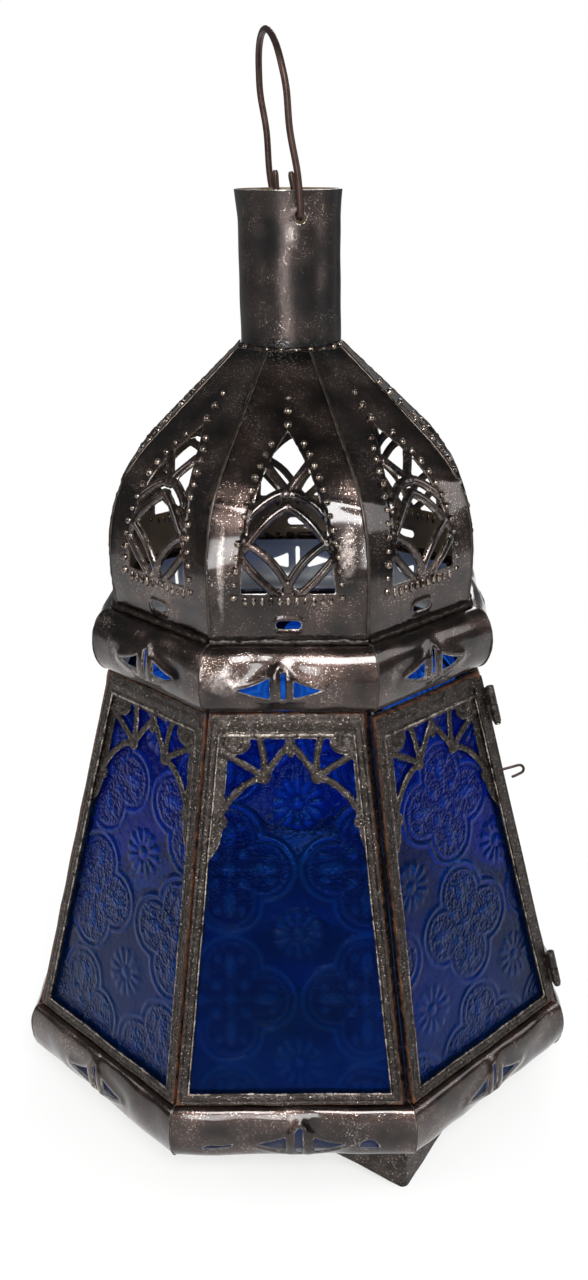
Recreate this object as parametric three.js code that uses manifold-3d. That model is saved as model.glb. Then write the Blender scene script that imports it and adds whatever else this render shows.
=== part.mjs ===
// Hanging glass lantern: an eight-sided tin lantern with a pierced onion dome, blue glass panes,
// half-round bands, a wire bail and a hinged glass door. Millimetres, +Z up.
// The origin is on the ground under the axis. Face 1 looks along -Y and the faces run on towards +X.
import * as THREE from 'three';
import { mergeVertices } from 'three/addons/utils/BufferGeometryUtils.js';
import Module from 'manifold-3d';

const wasm = await Module();
wasm.setup();

// Driving dimensions
const SIDES = 8;
const SHEET = 0.6;
const SEAT = 0.3;
const MITRE_GAP = 0.3;

const FOOT_HEIGHT = 21.8;
const FOOT_LENGTH = 33.6;
const FOOT_INSET = 4.5;
const FOOT_TIP = 1.6;
const FOOT_CORNERS = [1, 4, 6];

const BASE_BAND_HEIGHT = 22;
const BASE_BAND_BULGE = 5.2;
const BASE_BAND_LIP = 8;

const BODY_HEIGHT = 149.6;
const BODY_BASE_APOTHEM = 110.6;
const BODY_TOP_APOTHEM = 73.7;

const SHOULDER_BAND_HEIGHT = 25;
const SHOULDER_BAND_BULGE = 6;
const SHOULDER_BAND_LIP = 7;
const SHOULDER_TOP_APOTHEM = 72.5;
const BAND_STEPS = 10;

const EYE_LENGTH = 33;
const EYE_HEIGHT = 12;
const EYE_BAR_WIDTH = 3.4;
const EYE_SLIT_WIDTH = 1.8;
const EYE_TIP_DROP = 1.8;

const STILE_WIDTH = 5.5;
const TOP_RAIL_WIDTH = 9.4;
const BOTTOM_RAIL_WIDTH = 5.3;
const FRAME_GROOVE = 1.2;
const GROOVE_DEPTH = 1.8;
const GLASS_THICKNESS = 2;
const TRACERY_THICKNESS = 0.6;
const LOOSE_TOP_GAP = 2.6;
const DOOR_FACE = 3;
const LOOSE_FACE = 2;

const TRACERY_STRAP = 2.4;
const TRACERY_BOSS = 2.1;
const TRACERY_CORNER = 3.6;
const TRACERY_DEPTH = 51;
const TRACERY_HEM = 1.2;

const DOME_HEIGHT = 97.8;
const DOME_BASE_APOTHEM = 69.2;
const DOME_WAIST_APOTHEM = 70.4;
const DOME_WAIST_HEIGHT = 21;
const DOME_FLANK_APOTHEM = 53;
const DOME_FLANK_HEIGHT = 64.8;
const DOME_SWELL = 0.7;
const DOME_CURVE_STEPS = 6;
const DOME_TUCK_STEPS = 3;
const SEAM_WIDTH = 2;
const SEAM_HEIGHT = 0.9;
const COLLAR_HEIGHT = 1.8;
const COLLAR_REACH = 1.3;

const LATTICE_STRAP = 2.8;
const LATTICE_TAB_HALF = 5;
const LATTICE_TAB_HEIGHT = 5.4;
const ARCH_SILL_HEIGHT = 19.2;
const ARCH_SILL_HALF = 17;
const ARCH_SPRING_HEIGHT = 46;
const ARCH_SPRING_HALF = 13;
const ARCH_APEX_HEIGHT = 72.9;
const OVAL_LENGTH = 9.4;
const OVAL_WIDTH = 3.4;
const OVAL_HEIGHT = 7.1;

const TUBE_RADIUS = 19.1;
const TUBE_RISE = 56.9;
const TUBE_TUCK = 3;
const TUBE_FLARE = 0.9;
const TUBE_FLARE_HEIGHT = 11;
const TUBE_SEGMENTS = 32;
const VENT_ANGLE = 44;
const VENT_DROP = 6.2;
const VENT_WIDTH = 1.4;
const VENT_HEIGHT = 2.8;

const BAIL_WIRE = 2.5;
const BAIL_HOLE = 4.6;
const BAIL_HOLE_DROP = 9.5;
const BAIL_TURN = 14.6;
const BAIL_LEAN = 6.7;
const BAIL_HEIGHT = 65;
const BAIL_STUB = 16;
const BAIL_BEND = 2.6;
const BAIL_PLAY = 1;
const BAIL_STEPS = 56;

const HINGE_PIN_RADIUS = 0.7;
const HINGE_KNUCKLE_RADIUS = 1.7;
const HINGE_KNUCKLE_LENGTH = 7.5;
const HINGE_INSET = 9;
const HINGE_LEAF_WIDTH = 4.4;
const HINGE_LEAF_EDGE = 0.5;
const HINGE_TONGUE = 1.2;
const HINGE_END = 3;
const PIN_HEAD = 0.8;

const HOOK_WIRE = 1.3;
const HOOK_HEIGHT = 69.5;
const HOOK_REACH = 9.8;
const HOOK_BEND = 2.2;
const HOOK_RETURN = 4.2;
const HOOK_INSET = 2.7;
const HOOK_TAIL = 1.6;
const HOOK_STEPS = 18;

const CUP_RADIUS = 30;
const CUP_HEIGHT = 14;
const CUP_SEGMENTS = 32;

// Places worked out from the driving dimensions
const STEP_ANGLE = (2 * Math.PI) / SIDES;
const HALF_ANGLE = STEP_ANGLE / 2;
const TAN_HALF = Math.tan(HALF_ANGLE);
const Z_BASE_BAND = FOOT_HEIGHT;
const Z_BODY = Z_BASE_BAND + BASE_BAND_HEIGHT;
const Z_SHOULDER = Z_BODY + BODY_HEIGHT;
const Z_DOME = Z_SHOULDER + SHOULDER_BAND_HEIGHT;
const Z_NECK = Z_DOME + SEAT + DOME_HEIGHT;
const Z_RIM = Z_NECK + TUBE_RISE;
const Z_BAIL = Z_RIM - BAIL_HOLE_DROP;
const LEAN = Math.atan((BODY_BASE_APOTHEM - BODY_TOP_APOTHEM) / BODY_HEIGHT);
const SLOPE_LENGTH = BODY_HEIGHT / Math.cos(LEAN);
const GLASS_SLOT = TRACERY_THICKNESS + GLASS_THICKNESS + 3 * SEAT;
const FRAME_DEPTH = GLASS_SLOT + 2 * SHEET;
const NECK_APOTHEM = TUBE_RADIUS + SEAT + SHEET;
const FAR = 2 * BODY_BASE_APOTHEM;
const HINGE_OFFSET = (HINGE_KNUCKLE_RADIUS + 2 * SEAT + SHEET) / Math.cos(HALF_ANGLE);

// Colours from the photograph
const PATINA = 0x3a3230;
const DULL_TIN = 0x4a4643;
const SOLDER = 0x6b6763;
const GLASS_BLUE = 0x0a2a8c;
const WIRE_BROWN = 0x3b2c28;

// A solid for joining and cutting, from any closed geometry
function solid(geometry) {
  const bare = geometry.index ? geometry.toNonIndexed() : geometry.clone();
  bare.deleteAttribute('normal');
  bare.deleteAttribute('uv');
  const merged = mergeVertices(bare, 1e-4);
  return new wasm.Manifold(new wasm.Mesh({
    numProp: 3,
    vertProperties: new Float32Array(merged.attributes.position.array),
    triVerts: new Uint32Array(merged.index.array),
  }));
}

// A drawable geometry from a solid
function drawable(body) {
  const data = body.getMesh();
  const geometry = new THREE.BufferGeometry();
  geometry.setAttribute('position', new THREE.BufferAttribute(new Float32Array(data.vertProperties), 3));
  geometry.setIndex(new THREE.BufferAttribute(new Uint32Array(data.triVerts), 1));
  geometry.computeVertexNormals();
  return geometry;
}

// Extrudes a shape by depth, starting at start, along the shape's own normal
function slab(shape, start, depth, curveSegments = 5) {
  const geometry = new THREE.ExtrudeGeometry(shape, { depth, bevelEnabled: false, curveSegments });
  geometry.translate(0, 0, start);
  return geometry;
}

// Turns a slab drawn as (apothem, height) into a bar along face 1, centred on the face
function alongFace(shape, length) {
  const geometry = slab(shape, -length / 2, length);
  const basis = new THREE.Matrix4().makeBasis(
    new THREE.Vector3(0, -1, 0),
    new THREE.Vector3(0, 0, 1),
    new THREE.Vector3(-1, 0, 0),
  );
  return geometry.applyMatrix4(basis);
}

// Turns a slab drawn as (across, height) to look out of face 1, from one apothem to another
function throughFace(shape, fromApothem, toApothem) {
  return slab(shape, fromApothem, toApothem - fromApothem).rotateX(Math.PI / 2);
}

function polygon(points) {
  return new THREE.Shape(points.map(([x, y]) => new THREE.Vector2(x, y)));
}

// The eighth of the lantern that belongs to face 1, short of both mitre planes by halfGap
function wedge(zLow, zHigh, halfGap) {
  const apex = halfGap / Math.sin(HALF_ANGLE);
  const half = (FAR - apex) * TAN_HALF;
  const shape = polygon([[0, -apex], [half, -FAR], [-half, -FAR]]);
  return solid(slab(shape, zLow, zHigh - zLow));
}

// A flat strap of constant width along a plane curve, as a closed outline
function strap(curve, width, steps = 3) {
  const left = [];
  const right = [];
  for (let i = 0; i <= steps; i += 1) {
    const at = curve.getPoint(i / steps);
    const tangent = curve.getTangent(i / steps);
    const side = new THREE.Vector2(-tangent.y, tangent.x).multiplyScalar(width / 2);
    left.push(at.clone().add(side));
    right.push(at.clone().sub(side));
  }
  return new THREE.Shape(left.concat(right.reverse()));
}

function line(from, to) {
  return new THREE.LineCurve(new THREE.Vector2(...from), new THREE.Vector2(...to));
}

function bend(from, control, to) {
  return new THREE.QuadraticBezierCurve(
    new THREE.Vector2(...from),
    new THREE.Vector2(...control),
    new THREE.Vector2(...to),
  );
}

function disc(x, y, radius) {
  const shape = new THREE.Shape();
  shape.absarc(x, y, radius, 0, 2 * Math.PI);
  return shape;
}

function joined(bodies) {
  return bodies.reduce((all, body) => all.add(body));
}

const lantern = new THREE.Group();

function place(parent, name, geometry, color, roughness, metalness) {
  const material = new THREE.MeshStandardMaterial({ color, roughness, metalness });
  if (color === GLASS_BLUE) {
    material.transparent = true;
    material.opacity = 0.6;
  }
  const mesh = new THREE.Mesh(geometry, material);
  mesh.name = name;
  parent.add(mesh);
  return mesh;
}

// One group for each face, turned about the axis
const faces = [];
for (let face = 1; face <= SIDES; face += 1) {
  const group = new THREE.Group();
  group.rotation.z = (face - 1) * STEP_ANGLE;
  lantern.add(group);
  faces.push({ face, group });
}

// Half-round bands
// The section is bent sheet: a lip, a half ellipse that stands out by bulge, and a lip again
function bandSection(lowApothem, highApothem, height, bulge, lip) {
  const outer = [];
  const inner = [];
  for (let i = 0; i <= BAND_STEPS; i += 1) {
    const angle = Math.PI * (0.5 - i / BAND_STEPS);
    const middle = lowApothem + (highApothem - lowApothem) * (0.5 + Math.sin(angle) / 2);
    outer.push([middle + bulge * Math.cos(angle), height / 2 + (height / 2) * Math.sin(angle)]);
    inner.push([
      middle + (bulge - SHEET) * Math.cos(angle),
      height / 2 + (height / 2 - SHEET) * Math.sin(angle),
    ]);
  }
  return polygon([
    [highApothem - lip, height],
    ...outer,
    [lowApothem - lip, 0],
    [lowApothem - lip, SHEET],
    ...inner.reverse(),
    [highApothem - lip, height - SHEET],
  ]);
}

// The almond cut-out with two upright bars left standing in it
function eyeCutter(middleHeight, fromApothem, toApothem) {
  const half = EYE_LENGTH / 2;
  const rise = EYE_HEIGHT / 2;
  const almond = new THREE.Shape();
  const tip = middleHeight - EYE_TIP_DROP;
  almond.moveTo(-half, tip);
  almond.quadraticCurveTo(-half * 0.35, middleHeight, 0, middleHeight + rise);
  almond.quadraticCurveTo(half * 0.35, middleHeight, half, tip);
  almond.quadraticCurveTo(half * 0.4, middleHeight - rise, 0, middleHeight - rise);
  almond.quadraticCurveTo(-half * 0.4, middleHeight - rise, -half, tip);
  let cutter = solid(throughFace(almond, fromApothem, toApothem));
  for (const side of [-1, 1]) {
    const centre = side * (EYE_SLIT_WIDTH + EYE_BAR_WIDTH) / 2;
    const low = middleHeight - EYE_HEIGHT;
    const high = middleHeight + EYE_HEIGHT;
    const bar = polygon([
      [centre - EYE_BAR_WIDTH / 2, low],
      [centre + EYE_BAR_WIDTH / 2, low],
      [centre + EYE_BAR_WIDTH / 2, high],
      [centre - EYE_BAR_WIDTH / 2, high],
    ]);
    cutter = cutter.subtract(solid(throughFace(bar, fromApothem - 1, toApothem + 1)));
  }
  return cutter;
}

function bandSegment(section, zLow, height, eyeHeight, outside) {
  const bar = solid(alongFace(section, 2 * outside * TAN_HALF)).translate([0, 0, zLow]);
  const cut = eyeCutter(zLow + eyeHeight, outside - 2 * SHEET - height / 2, outside + 1);
  return drawable(bar.intersect(wedge(zLow - 1, zLow + height + 1, MITRE_GAP / 2)).subtract(cut));
}

const baseBand = bandSegment(
  bandSection(BODY_BASE_APOTHEM, BODY_BASE_APOTHEM, BASE_BAND_HEIGHT, BASE_BAND_BULGE, BASE_BAND_LIP),
  Z_BASE_BAND,
  BASE_BAND_HEIGHT,
  BASE_BAND_HEIGHT / 2,
  BODY_BASE_APOTHEM + BASE_BAND_BULGE,
);
const shoulderBand = bandSegment(
  bandSection(
    BODY_TOP_APOTHEM,
    SHOULDER_TOP_APOTHEM,
    SHOULDER_BAND_HEIGHT,
    SHOULDER_BAND_BULGE,
    SHOULDER_BAND_LIP,
  ),
  Z_SHOULDER,
  SHOULDER_BAND_HEIGHT,
  SHOULDER_BAND_HEIGHT / 2,
  BODY_TOP_APOTHEM + SHOULDER_BAND_BULGE,
);
for (const { face, group } of faces) {
  place(group, `base_band_${face}`, baseBand.clone(), PATINA, 0.35, 0.9);
  place(group, `shoulder_band_${face}`, shoulderBand.clone(), PATINA, 0.35, 0.9);
}

// Pane frames, glass and tracery, drawn flat as (across, up the slope)
function halfWidth(up) {
  return (BODY_BASE_APOTHEM - up * Math.sin(LEAN)) * TAN_HALF;
}

// A trapezoid as wide as the face less an inset on each side
function facePlate(low, high, inset) {
  return polygon([
    [inset - halfWidth(low), low],
    [halfWidth(low) - inset, low],
    [halfWidth(high) - inset, high],
    [inset - halfWidth(high), high],
  ]);
}

function onSlope(geometry) {
  geometry.rotateX(Math.PI / 2 - LEAN);
  geometry.translate(0, -BODY_BASE_APOTHEM, Z_BODY);
  return geometry;
}

function paneFrame(topGap) {
  const top = SLOPE_LENGTH - (topGap - SEAT) / Math.cos(LEAN);
  const plate = facePlate(-2 * FRAME_DEPTH, SLOPE_LENGTH + 2 * FRAME_DEPTH, 0);
  const opening = facePlate(BOTTOM_RAIL_WIDTH, top - TOP_RAIL_WIDTH, STILE_WIDTH);
  const channel = facePlate(
    BOTTOM_RAIL_WIDTH - GROOVE_DEPTH,
    top - TOP_RAIL_WIDTH + GROOVE_DEPTH,
    STILE_WIDTH - GROOVE_DEPTH,
  );
  return solid(onSlope(slab(plate, -FRAME_DEPTH, FRAME_DEPTH)))
    .subtract(solid(onSlope(slab(opening, -FRAME_DEPTH - 1, FRAME_DEPTH + 2))))
    .subtract(solid(onSlope(slab(channel, -SHEET - GLASS_SLOT, GLASS_SLOT))))
    .intersect(wedge(Z_BODY + SEAT, Z_SHOULDER - topGap, FRAME_GROOVE / 2));
}

function glassPane(topGap) {
  const top = SLOPE_LENGTH - (topGap - SEAT) / Math.cos(LEAN);
  const reach = GROOVE_DEPTH - SEAT;
  const outline = facePlate(BOTTOM_RAIL_WIDTH - reach, top - TOP_RAIL_WIDTH + reach, STILE_WIDTH - reach);
  const front = -SHEET - TRACERY_THICKNESS - 2 * SEAT;
  return onSlope(slab(outline, front - GLASS_THICKNESS, GLASS_THICKNESS));
}

// Pierced arch of straps that hangs from the top rail in front of the glass
function tracery(topGap) {
  const top = SLOPE_LENGTH - (topGap - SEAT) / Math.cos(LEAN) - TOP_RAIL_WIDTH;
  const reach = GROOVE_DEPTH - SEAT;
  const tucked = STILE_WIDTH - reach;
  const low = top - TRACERY_DEPTH;
  const front = -SHEET - SEAT;
  const bodies = [];
  const add = (shape, curveSegments) => {
    bodies.push(solid(slab(shape, front - TRACERY_THICKNESS, TRACERY_THICKNESS, curveSegments)));
  };
  add(facePlate(top - TRACERY_HEM, top + reach, tucked));
  for (const side of [-1, 1]) {
    // A point by its share of the opening's half width and its share of the tracery's depth
    const at = (across, down) => {
      const up = top - down * TRACERY_DEPTH;
      return [side * across * (halfWidth(up) - STILE_WIDTH), up];
    };
    const behind = (up) => [side * (halfWidth(up) - tucked), up];
    const margin = [
      behind(top + reach),
      at(0.87, 0),
      at(0.88, 0.31),
      at(0.87, 0.57),
      at(0.82, 0.67),
      at(0.86, 0.73),
      at(0.95, 0.8),
      at(1, 1),
      behind(low),
    ];
    add(polygon(margin));
    const node = at(0.36, 0.31);
    add(strap(bend(at(0, 0.06), at(0.24, 0.18), node), TRACERY_STRAP));
    add(strap(bend(node, at(0.34, 0.16), at(0.47, -0.01)), TRACERY_STRAP));
    add(strap(bend(node, at(0.59, 0.21), at(0.91, 0.14)), TRACERY_STRAP));
    add(strap(bend(node, at(0.7, 0.35), at(0.9, 0.6)), TRACERY_STRAP, 4));
    add(disc(...node, TRACERY_BOSS), 4);
    add(disc(...at(0.83, 0.06), TRACERY_CORNER), 5);
  }
  add(strap(line([0, top - TRACERY_DEPTH * 0.08], [0, top]), TRACERY_STRAP, 1));
  const mask = solid(slab(facePlate(low, top + reach, tucked), front - 2 * SHEET, 4 * SHEET));
  return onSlope(drawable(joined(bodies).intersect(mask)));
}

// The turn-hook's hole in the door's free stile, and its place
const HOOK_UP = HOOK_HEIGHT / Math.cos(LEAN);
const hookAt = new THREE.Vector3(halfWidth(HOOK_UP) - HOOK_INSET - FRAME_GROOVE / 2, HOOK_UP, 0);

function hookBore() {
  const bore = new THREE.CylinderGeometry(HOOK_WIRE / 2 + SEAT, HOOK_WIRE / 2 + SEAT, 3 * FRAME_DEPTH, 12);
  bore.rotateX(Math.PI / 2);
  bore.translate(hookAt.x, hookAt.y, hookAt.z);
  return solid(onSlope(bore));
}

for (const { face, group } of faces) {
  const loose = face === DOOR_FACE || face === LOOSE_FACE;
  const topGap = loose ? LOOSE_TOP_GAP : SEAT;
  const isDoor = face === DOOR_FACE;
  let frame = paneFrame(topGap);
  if (isDoor) {
    frame = frame.subtract(hookBore());
  }
  const frameName = isDoor ? 'door_frame' : `pane_frame_${face}`;
  const glassName = isDoor ? 'door_glass' : `glass_pane_${face}`;
  const traceryName = isDoor ? 'door_tracery' : `tracery_${face}`;
  place(group, frameName, drawable(frame), DULL_TIN, 0.5, 0.85);
  place(group, glassName, glassPane(topGap), GLASS_BLUE, 0.1, 0);
  place(group, traceryName, tracery(topGap), DULL_TIN, 0.5, 0.85);
}

// Onion dome
// The outer profile as (apothem, height above the dome's foot): a straight flank from the neck,
// a swelling curve to the waist and a short tuck to the foot
function domeProfile() {
  const neck = new THREE.Vector2(NECK_APOTHEM, DOME_HEIGHT);
  const flank = new THREE.Vector2(DOME_FLANK_APOTHEM, DOME_FLANK_HEIGHT);
  const waist = new THREE.Vector2(DOME_WAIST_APOTHEM, DOME_WAIST_HEIGHT);
  const foot = new THREE.Vector2(DOME_BASE_APOTHEM, 0);
  const fall = flank.clone().sub(neck);
  const corner = new THREE.Vector2(waist.x, flank.y + (fall.y / fall.x) * (waist.x - flank.x));
  const swell = new THREE.CubicBezierCurve(
    flank,
    flank.clone().lerp(corner, DOME_SWELL),
    waist.clone().lerp(corner, DOME_SWELL),
    waist,
  );
  const tuck = new THREE.QuadraticBezierCurve(
    waist,
    new THREE.Vector2(waist.x, DOME_WAIST_HEIGHT / 2),
    foot,
  );
  return [
    neck,
    ...swell.getPoints(DOME_CURVE_STEPS),
    ...tuck.getPoints(DOME_TUCK_STEPS).slice(1),
  ];
}

// The profile moved outwards along its own normals; a negative distance moves it inwards
function offsetProfile(points, distance) {
  return points.map((point, i) => {
    const before = points[Math.max(i - 1, 0)];
    const after = points[Math.min(i + 1, points.length - 1)];
    const along = after.clone().sub(before).normalize();
    const outward = new THREE.Vector2(-along.y, along.x);
    return point.clone().add(outward.multiplyScalar(distance));
  });
}

const profile = domeProfile();

function goreSheet() {
  const section = new THREE.Shape([...profile, ...offsetProfile(profile, -SHEET).reverse()]);
  const bar = solid(alongFace(section, 2 * DOME_WAIST_APOTHEM * TAN_HALF + 4));
  return bar.intersect(wedge(-5, DOME_HEIGHT + 5, MITRE_GAP / 2));
}

// The holes of one gore: the pointed arch less the straps that cross it, and an oval below
function goreHoles() {
  const middle = (ARCH_SILL_HEIGHT + ARCH_SPRING_HEIGHT) / 2;
  const shoulder = ARCH_SPRING_HEIGHT + (ARCH_APEX_HEIGHT - ARCH_SPRING_HEIGHT) * 0.57;
  const arch = new THREE.Shape();
  arch.moveTo(-ARCH_SILL_HALF, ARCH_SILL_HEIGHT);
  arch.lineTo(ARCH_SILL_HALF, ARCH_SILL_HEIGHT);
  arch.quadraticCurveTo(ARCH_SILL_HALF * 0.97, middle, ARCH_SPRING_HALF, ARCH_SPRING_HEIGHT);
  arch.quadraticCurveTo(ARCH_SPRING_HALF * 0.75, shoulder, 0, ARCH_APEX_HEIGHT);
  arch.quadraticCurveTo(-ARCH_SPRING_HALF * 0.75, shoulder, -ARCH_SPRING_HALF, ARCH_SPRING_HEIGHT);
  arch.quadraticCurveTo(-ARCH_SILL_HALF * 0.97, middle, -ARCH_SILL_HALF, ARCH_SILL_HEIGHT);
  const rise = ARCH_APEX_HEIGHT - ARCH_SILL_HEIGHT;
  const straps = [];
  for (const side of [-1, 1]) {
    // A point by its share of the sill's half width and its share of the arch's rise
    const at = (across, up) => [side * across * ARCH_SILL_HALF, ARCH_SILL_HEIGHT + up * rise];
    straps.push(strap(line(at(0.65, 0.87), at(-0.04, 0.65)), LATTICE_STRAP, 1));
    straps.push(strap(bend(at(-0.04, 0.66), at(0.41, 0.64), at(0.82, 0.49)), LATTICE_STRAP));
    straps.push(strap(bend(at(-0.04, 0.57), at(0.44, 0.53), at(0.91, 0.29)), LATTICE_STRAP));
    straps.push(strap(bend(at(0.91, 0.34), at(0.32, 0.26), at(-0.02, 0.04)), LATTICE_STRAP));
    straps.push(strap(bend(at(1, 0.27), at(0.68, 0.11), at(0.2, -0.02)), LATTICE_STRAP));
  }
  straps.push(polygon([
    [-LATTICE_TAB_HALF, ARCH_SILL_HEIGHT - 1],
    [LATTICE_TAB_HALF, ARCH_SILL_HEIGHT - 1],
    [0, ARCH_SILL_HEIGHT + LATTICE_TAB_HEIGHT],
  ]));
  const nearAxis = NECK_APOTHEM;
  const outside = DOME_WAIST_APOTHEM + 5;
  let holes = solid(throughFace(arch, nearAxis, outside));
  for (const shape of straps) {
    holes = holes.subtract(solid(throughFace(shape, nearAxis - 1, outside + 1)));
  }
  const oval = new THREE.Shape();
  const reach = (OVAL_LENGTH - OVAL_WIDTH) / 2;
  oval.absarc(reach, OVAL_HEIGHT, OVAL_WIDTH / 2, -Math.PI / 2, Math.PI / 2);
  oval.absarc(-reach, OVAL_HEIGHT, OVAL_WIDTH / 2, Math.PI / 2, (3 * Math.PI) / 2);
  return holes.add(solid(throughFace(oval, nearAxis, outside)));
}

const gore = drawable(goreSheet().subtract(goreHoles()).translate([0, 0, Z_DOME + SEAT]));
for (const { face, group } of faces) {
  place(group, `dome_gore_${face}`, gore.clone(), PATINA, 0.4, 0.85);
}

// Raised solder seams over the joints between the gores, run together in a collar round the tube.
// A strip is drawn in the plane of a joint, the collar as a ring whose underside follows the flank.
function domeSeams() {
  const atCorner = profile.map((point) => new THREE.Vector2(point.x / Math.cos(HALF_ANGLE), point.y));
  const section = new THREE.Shape([
    ...offsetProfile(atCorner, SEAT + SEAM_HEIGHT),
    ...offsetProfile(atCorner, SEAT).reverse(),
  ]);
  const fall = profile[0].clone().sub(profile[1]);
  const edge = atCorner[0].x;
  const under = DOME_HEIGHT + SEAT * 1.5;
  const drop = (COLLAR_REACH * Math.cos(HALF_ANGLE) * fall.y) / Math.abs(fall.x);
  const collar = [
    [TUBE_RADIUS + SEAT, under],
    [edge, under],
    [edge + COLLAR_REACH, under - drop],
    [edge + COLLAR_REACH, under - drop + SEAM_HEIGHT],
    [edge, under + COLLAR_HEIGHT / 2],
    [TUBE_RADIUS + SEAT, under + COLLAR_HEIGHT],
    [TUBE_RADIUS + SEAT, under],
  ].map(([r, z]) => new THREE.Vector2(r, z));
  let body = solid(new THREE.LatheGeometry(collar, TUBE_SEGMENTS).rotateX(Math.PI / 2));
  for (let i = 0; i < SIDES; i += 1) {
    body = body.add(solid(alongFace(section, SEAM_WIDTH).rotateZ((i + 0.5) * STEP_ANGLE)));
  }
  return drawable(body.translate([0, 0, Z_DOME + SEAT]));
}
place(lantern, 'dome_seams', domeSeams(), SOLDER, 0.35, 0.9);

// Neck tube with its flared rim, the two bail holes and a small vent slot
function neckTube() {
  const low = Z_NECK - TUBE_TUCK;
  const flareStart = Z_RIM - TUBE_FLARE_HEIGHT;
  const flared = TUBE_RADIUS + TUBE_FLARE;
  const points = [
    [TUBE_RADIUS, low],
    [TUBE_RADIUS, flareStart],
    [flared, Z_RIM],
    [flared - SHEET, Z_RIM],
    [TUBE_RADIUS - SHEET, flareStart],
    [TUBE_RADIUS - SHEET, low],
    [TUBE_RADIUS, low],
  ].map(([r, z]) => new THREE.Vector2(r, z));
  const sleeve = solid(new THREE.LatheGeometry(points, TUBE_SEGMENTS).rotateX(Math.PI / 2));
  const bore = new THREE.CylinderGeometry(BAIL_HOLE / 2, BAIL_HOLE / 2, 4 * TUBE_RADIUS, 16)
    .rotateZ(THREE.MathUtils.degToRad(BAIL_TURN))
    .translate(0, 0, Z_BAIL);
  const vent = new THREE.BoxGeometry(VENT_WIDTH, TUBE_RADIUS, VENT_HEIGHT)
    .translate(0, -TUBE_RADIUS, 0)
    .rotateZ(THREE.MathUtils.degToRad(VENT_ANGLE))
    .translate(0, 0, Z_RIM - VENT_DROP);
  return drawable(sleeve.subtract(solid(bore)).subtract(solid(vent)));
}
place(lantern, 'neck_tube', neckTube(), PATINA, 0.35, 0.85);

// Wire bail
// Drawn in its own plane as (along the hole axis, up), with the hole axis at height zero
function bailPath() {
  const leg = TUBE_RADIUS + BAIL_WIRE / 2 + BAIL_PLAY;
  const stub = TUBE_RADIUS - SHEET - BAIL_WIRE / 2 - BAIL_PLAY;
  const easing = BAIL_BEND * 0.27;
  const straightTop = BAIL_HEIGHT - BAIL_WIRE / 2 - leg;
  const points = [];
  const add = (x, y) => points.push(new THREE.Vector3(x, 0, y));
  const half = (side) => {
    const run = [];
    run.push([side * stub, BAIL_STUB]);
    run.push([side * stub, BAIL_STUB * 0.6]);
    run.push([side * stub, BAIL_BEND]);
    run.push([side * (stub + easing), easing]);
    run.push([side * (stub + leg) / 2, 0]);
    run.push([side * (leg - easing), easing]);
    run.push([side * leg, BAIL_BEND]);
    run.push([side * leg, straightTop * 0.5]);
    run.push([side * leg, straightTop]);
    return run;
  };
  half(-1).forEach(([x, y]) => add(x, y));
  const arcSteps = 8;
  for (let i = 1; i < arcSteps; i += 1) {
    const angle = Math.PI * (1 - i / arcSteps);
    add(leg * Math.cos(angle), straightTop + leg * Math.sin(angle));
  }
  half(1).reverse().forEach(([x, y]) => add(x, y));
  return new THREE.CatmullRomCurve3(points, false, 'centripetal');
}

function wireSection(radius, sides) {
  const shape = new THREE.Shape();
  for (let i = 0; i < sides; i += 1) {
    const angle = (2 * Math.PI * i) / sides;
    const x = radius * Math.cos(angle);
    const y = radius * Math.sin(angle);
    if (i === 0) {
      shape.moveTo(x, y);
    } else {
      shape.lineTo(x, y);
    }
  }
  return shape;
}

const bailGroup = new THREE.Group();
bailGroup.position.z = Z_BAIL;
bailGroup.rotation.z = THREE.MathUtils.degToRad(BAIL_TURN - 90);
lantern.add(bailGroup);
const bailWire = new THREE.ExtrudeGeometry(wireSection(BAIL_WIRE / 2, 8), {
  steps: BAIL_STEPS,
  extrudePath: bailPath(),
});
bailWire.rotateX(THREE.MathUtils.degToRad(BAIL_LEAN));
place(bailGroup, 'bail', bailWire, WIRE_BROWN, 0.45, 0.85);

// Door hinge on the corner between faces 2 and 3
// The frame of the hinge: z runs up the corner, x points away from the axis, y towards the door
const cornerAngle = (DOOR_FACE - 1) * STEP_ANGLE - HALF_ANGLE;
const cornerRadius = (apothem) => apothem / Math.cos(HALF_ANGLE);
const cornerLean = Math.atan(Math.tan(LEAN) / Math.cos(HALF_ANGLE));
const cornerLength = BODY_HEIGHT / Math.cos(cornerLean);
const hingeTilt = new THREE.Group();
hingeTilt.rotation.y = -cornerLean;
hingeTilt.position.set(cornerRadius(BODY_BASE_APOTHEM), 0, Z_BODY);
const hingeTurn = new THREE.Group();
hingeTurn.rotation.z = cornerAngle - Math.PI / 2;
hingeTurn.add(hingeTilt);
lantern.add(hingeTurn);

const pairLength = 2 * HINGE_KNUCKLE_LENGTH + SEAT;
const pairLows = [HINGE_INSET, cornerLength - HINGE_INSET - pairLength];

// A pin hangs from the fixed knuckle down through the door's, with a flattened head below it
function hingePin(pairLow) {
  const shankLow = pairLow - SEAT;
  const shank = disc(HINGE_OFFSET, 0, HINGE_PIN_RADIUS);
  const head = disc(HINGE_OFFSET, 0, HINGE_KNUCKLE_RADIUS - SEAT);
  return solid(slab(shank, shankLow, HINGE_KNUCKLE_LENGTH + 3 * SEAT))
    .add(solid(slab(head, shankLow - PIN_HEAD, PIN_HEAD)));
}

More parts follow.
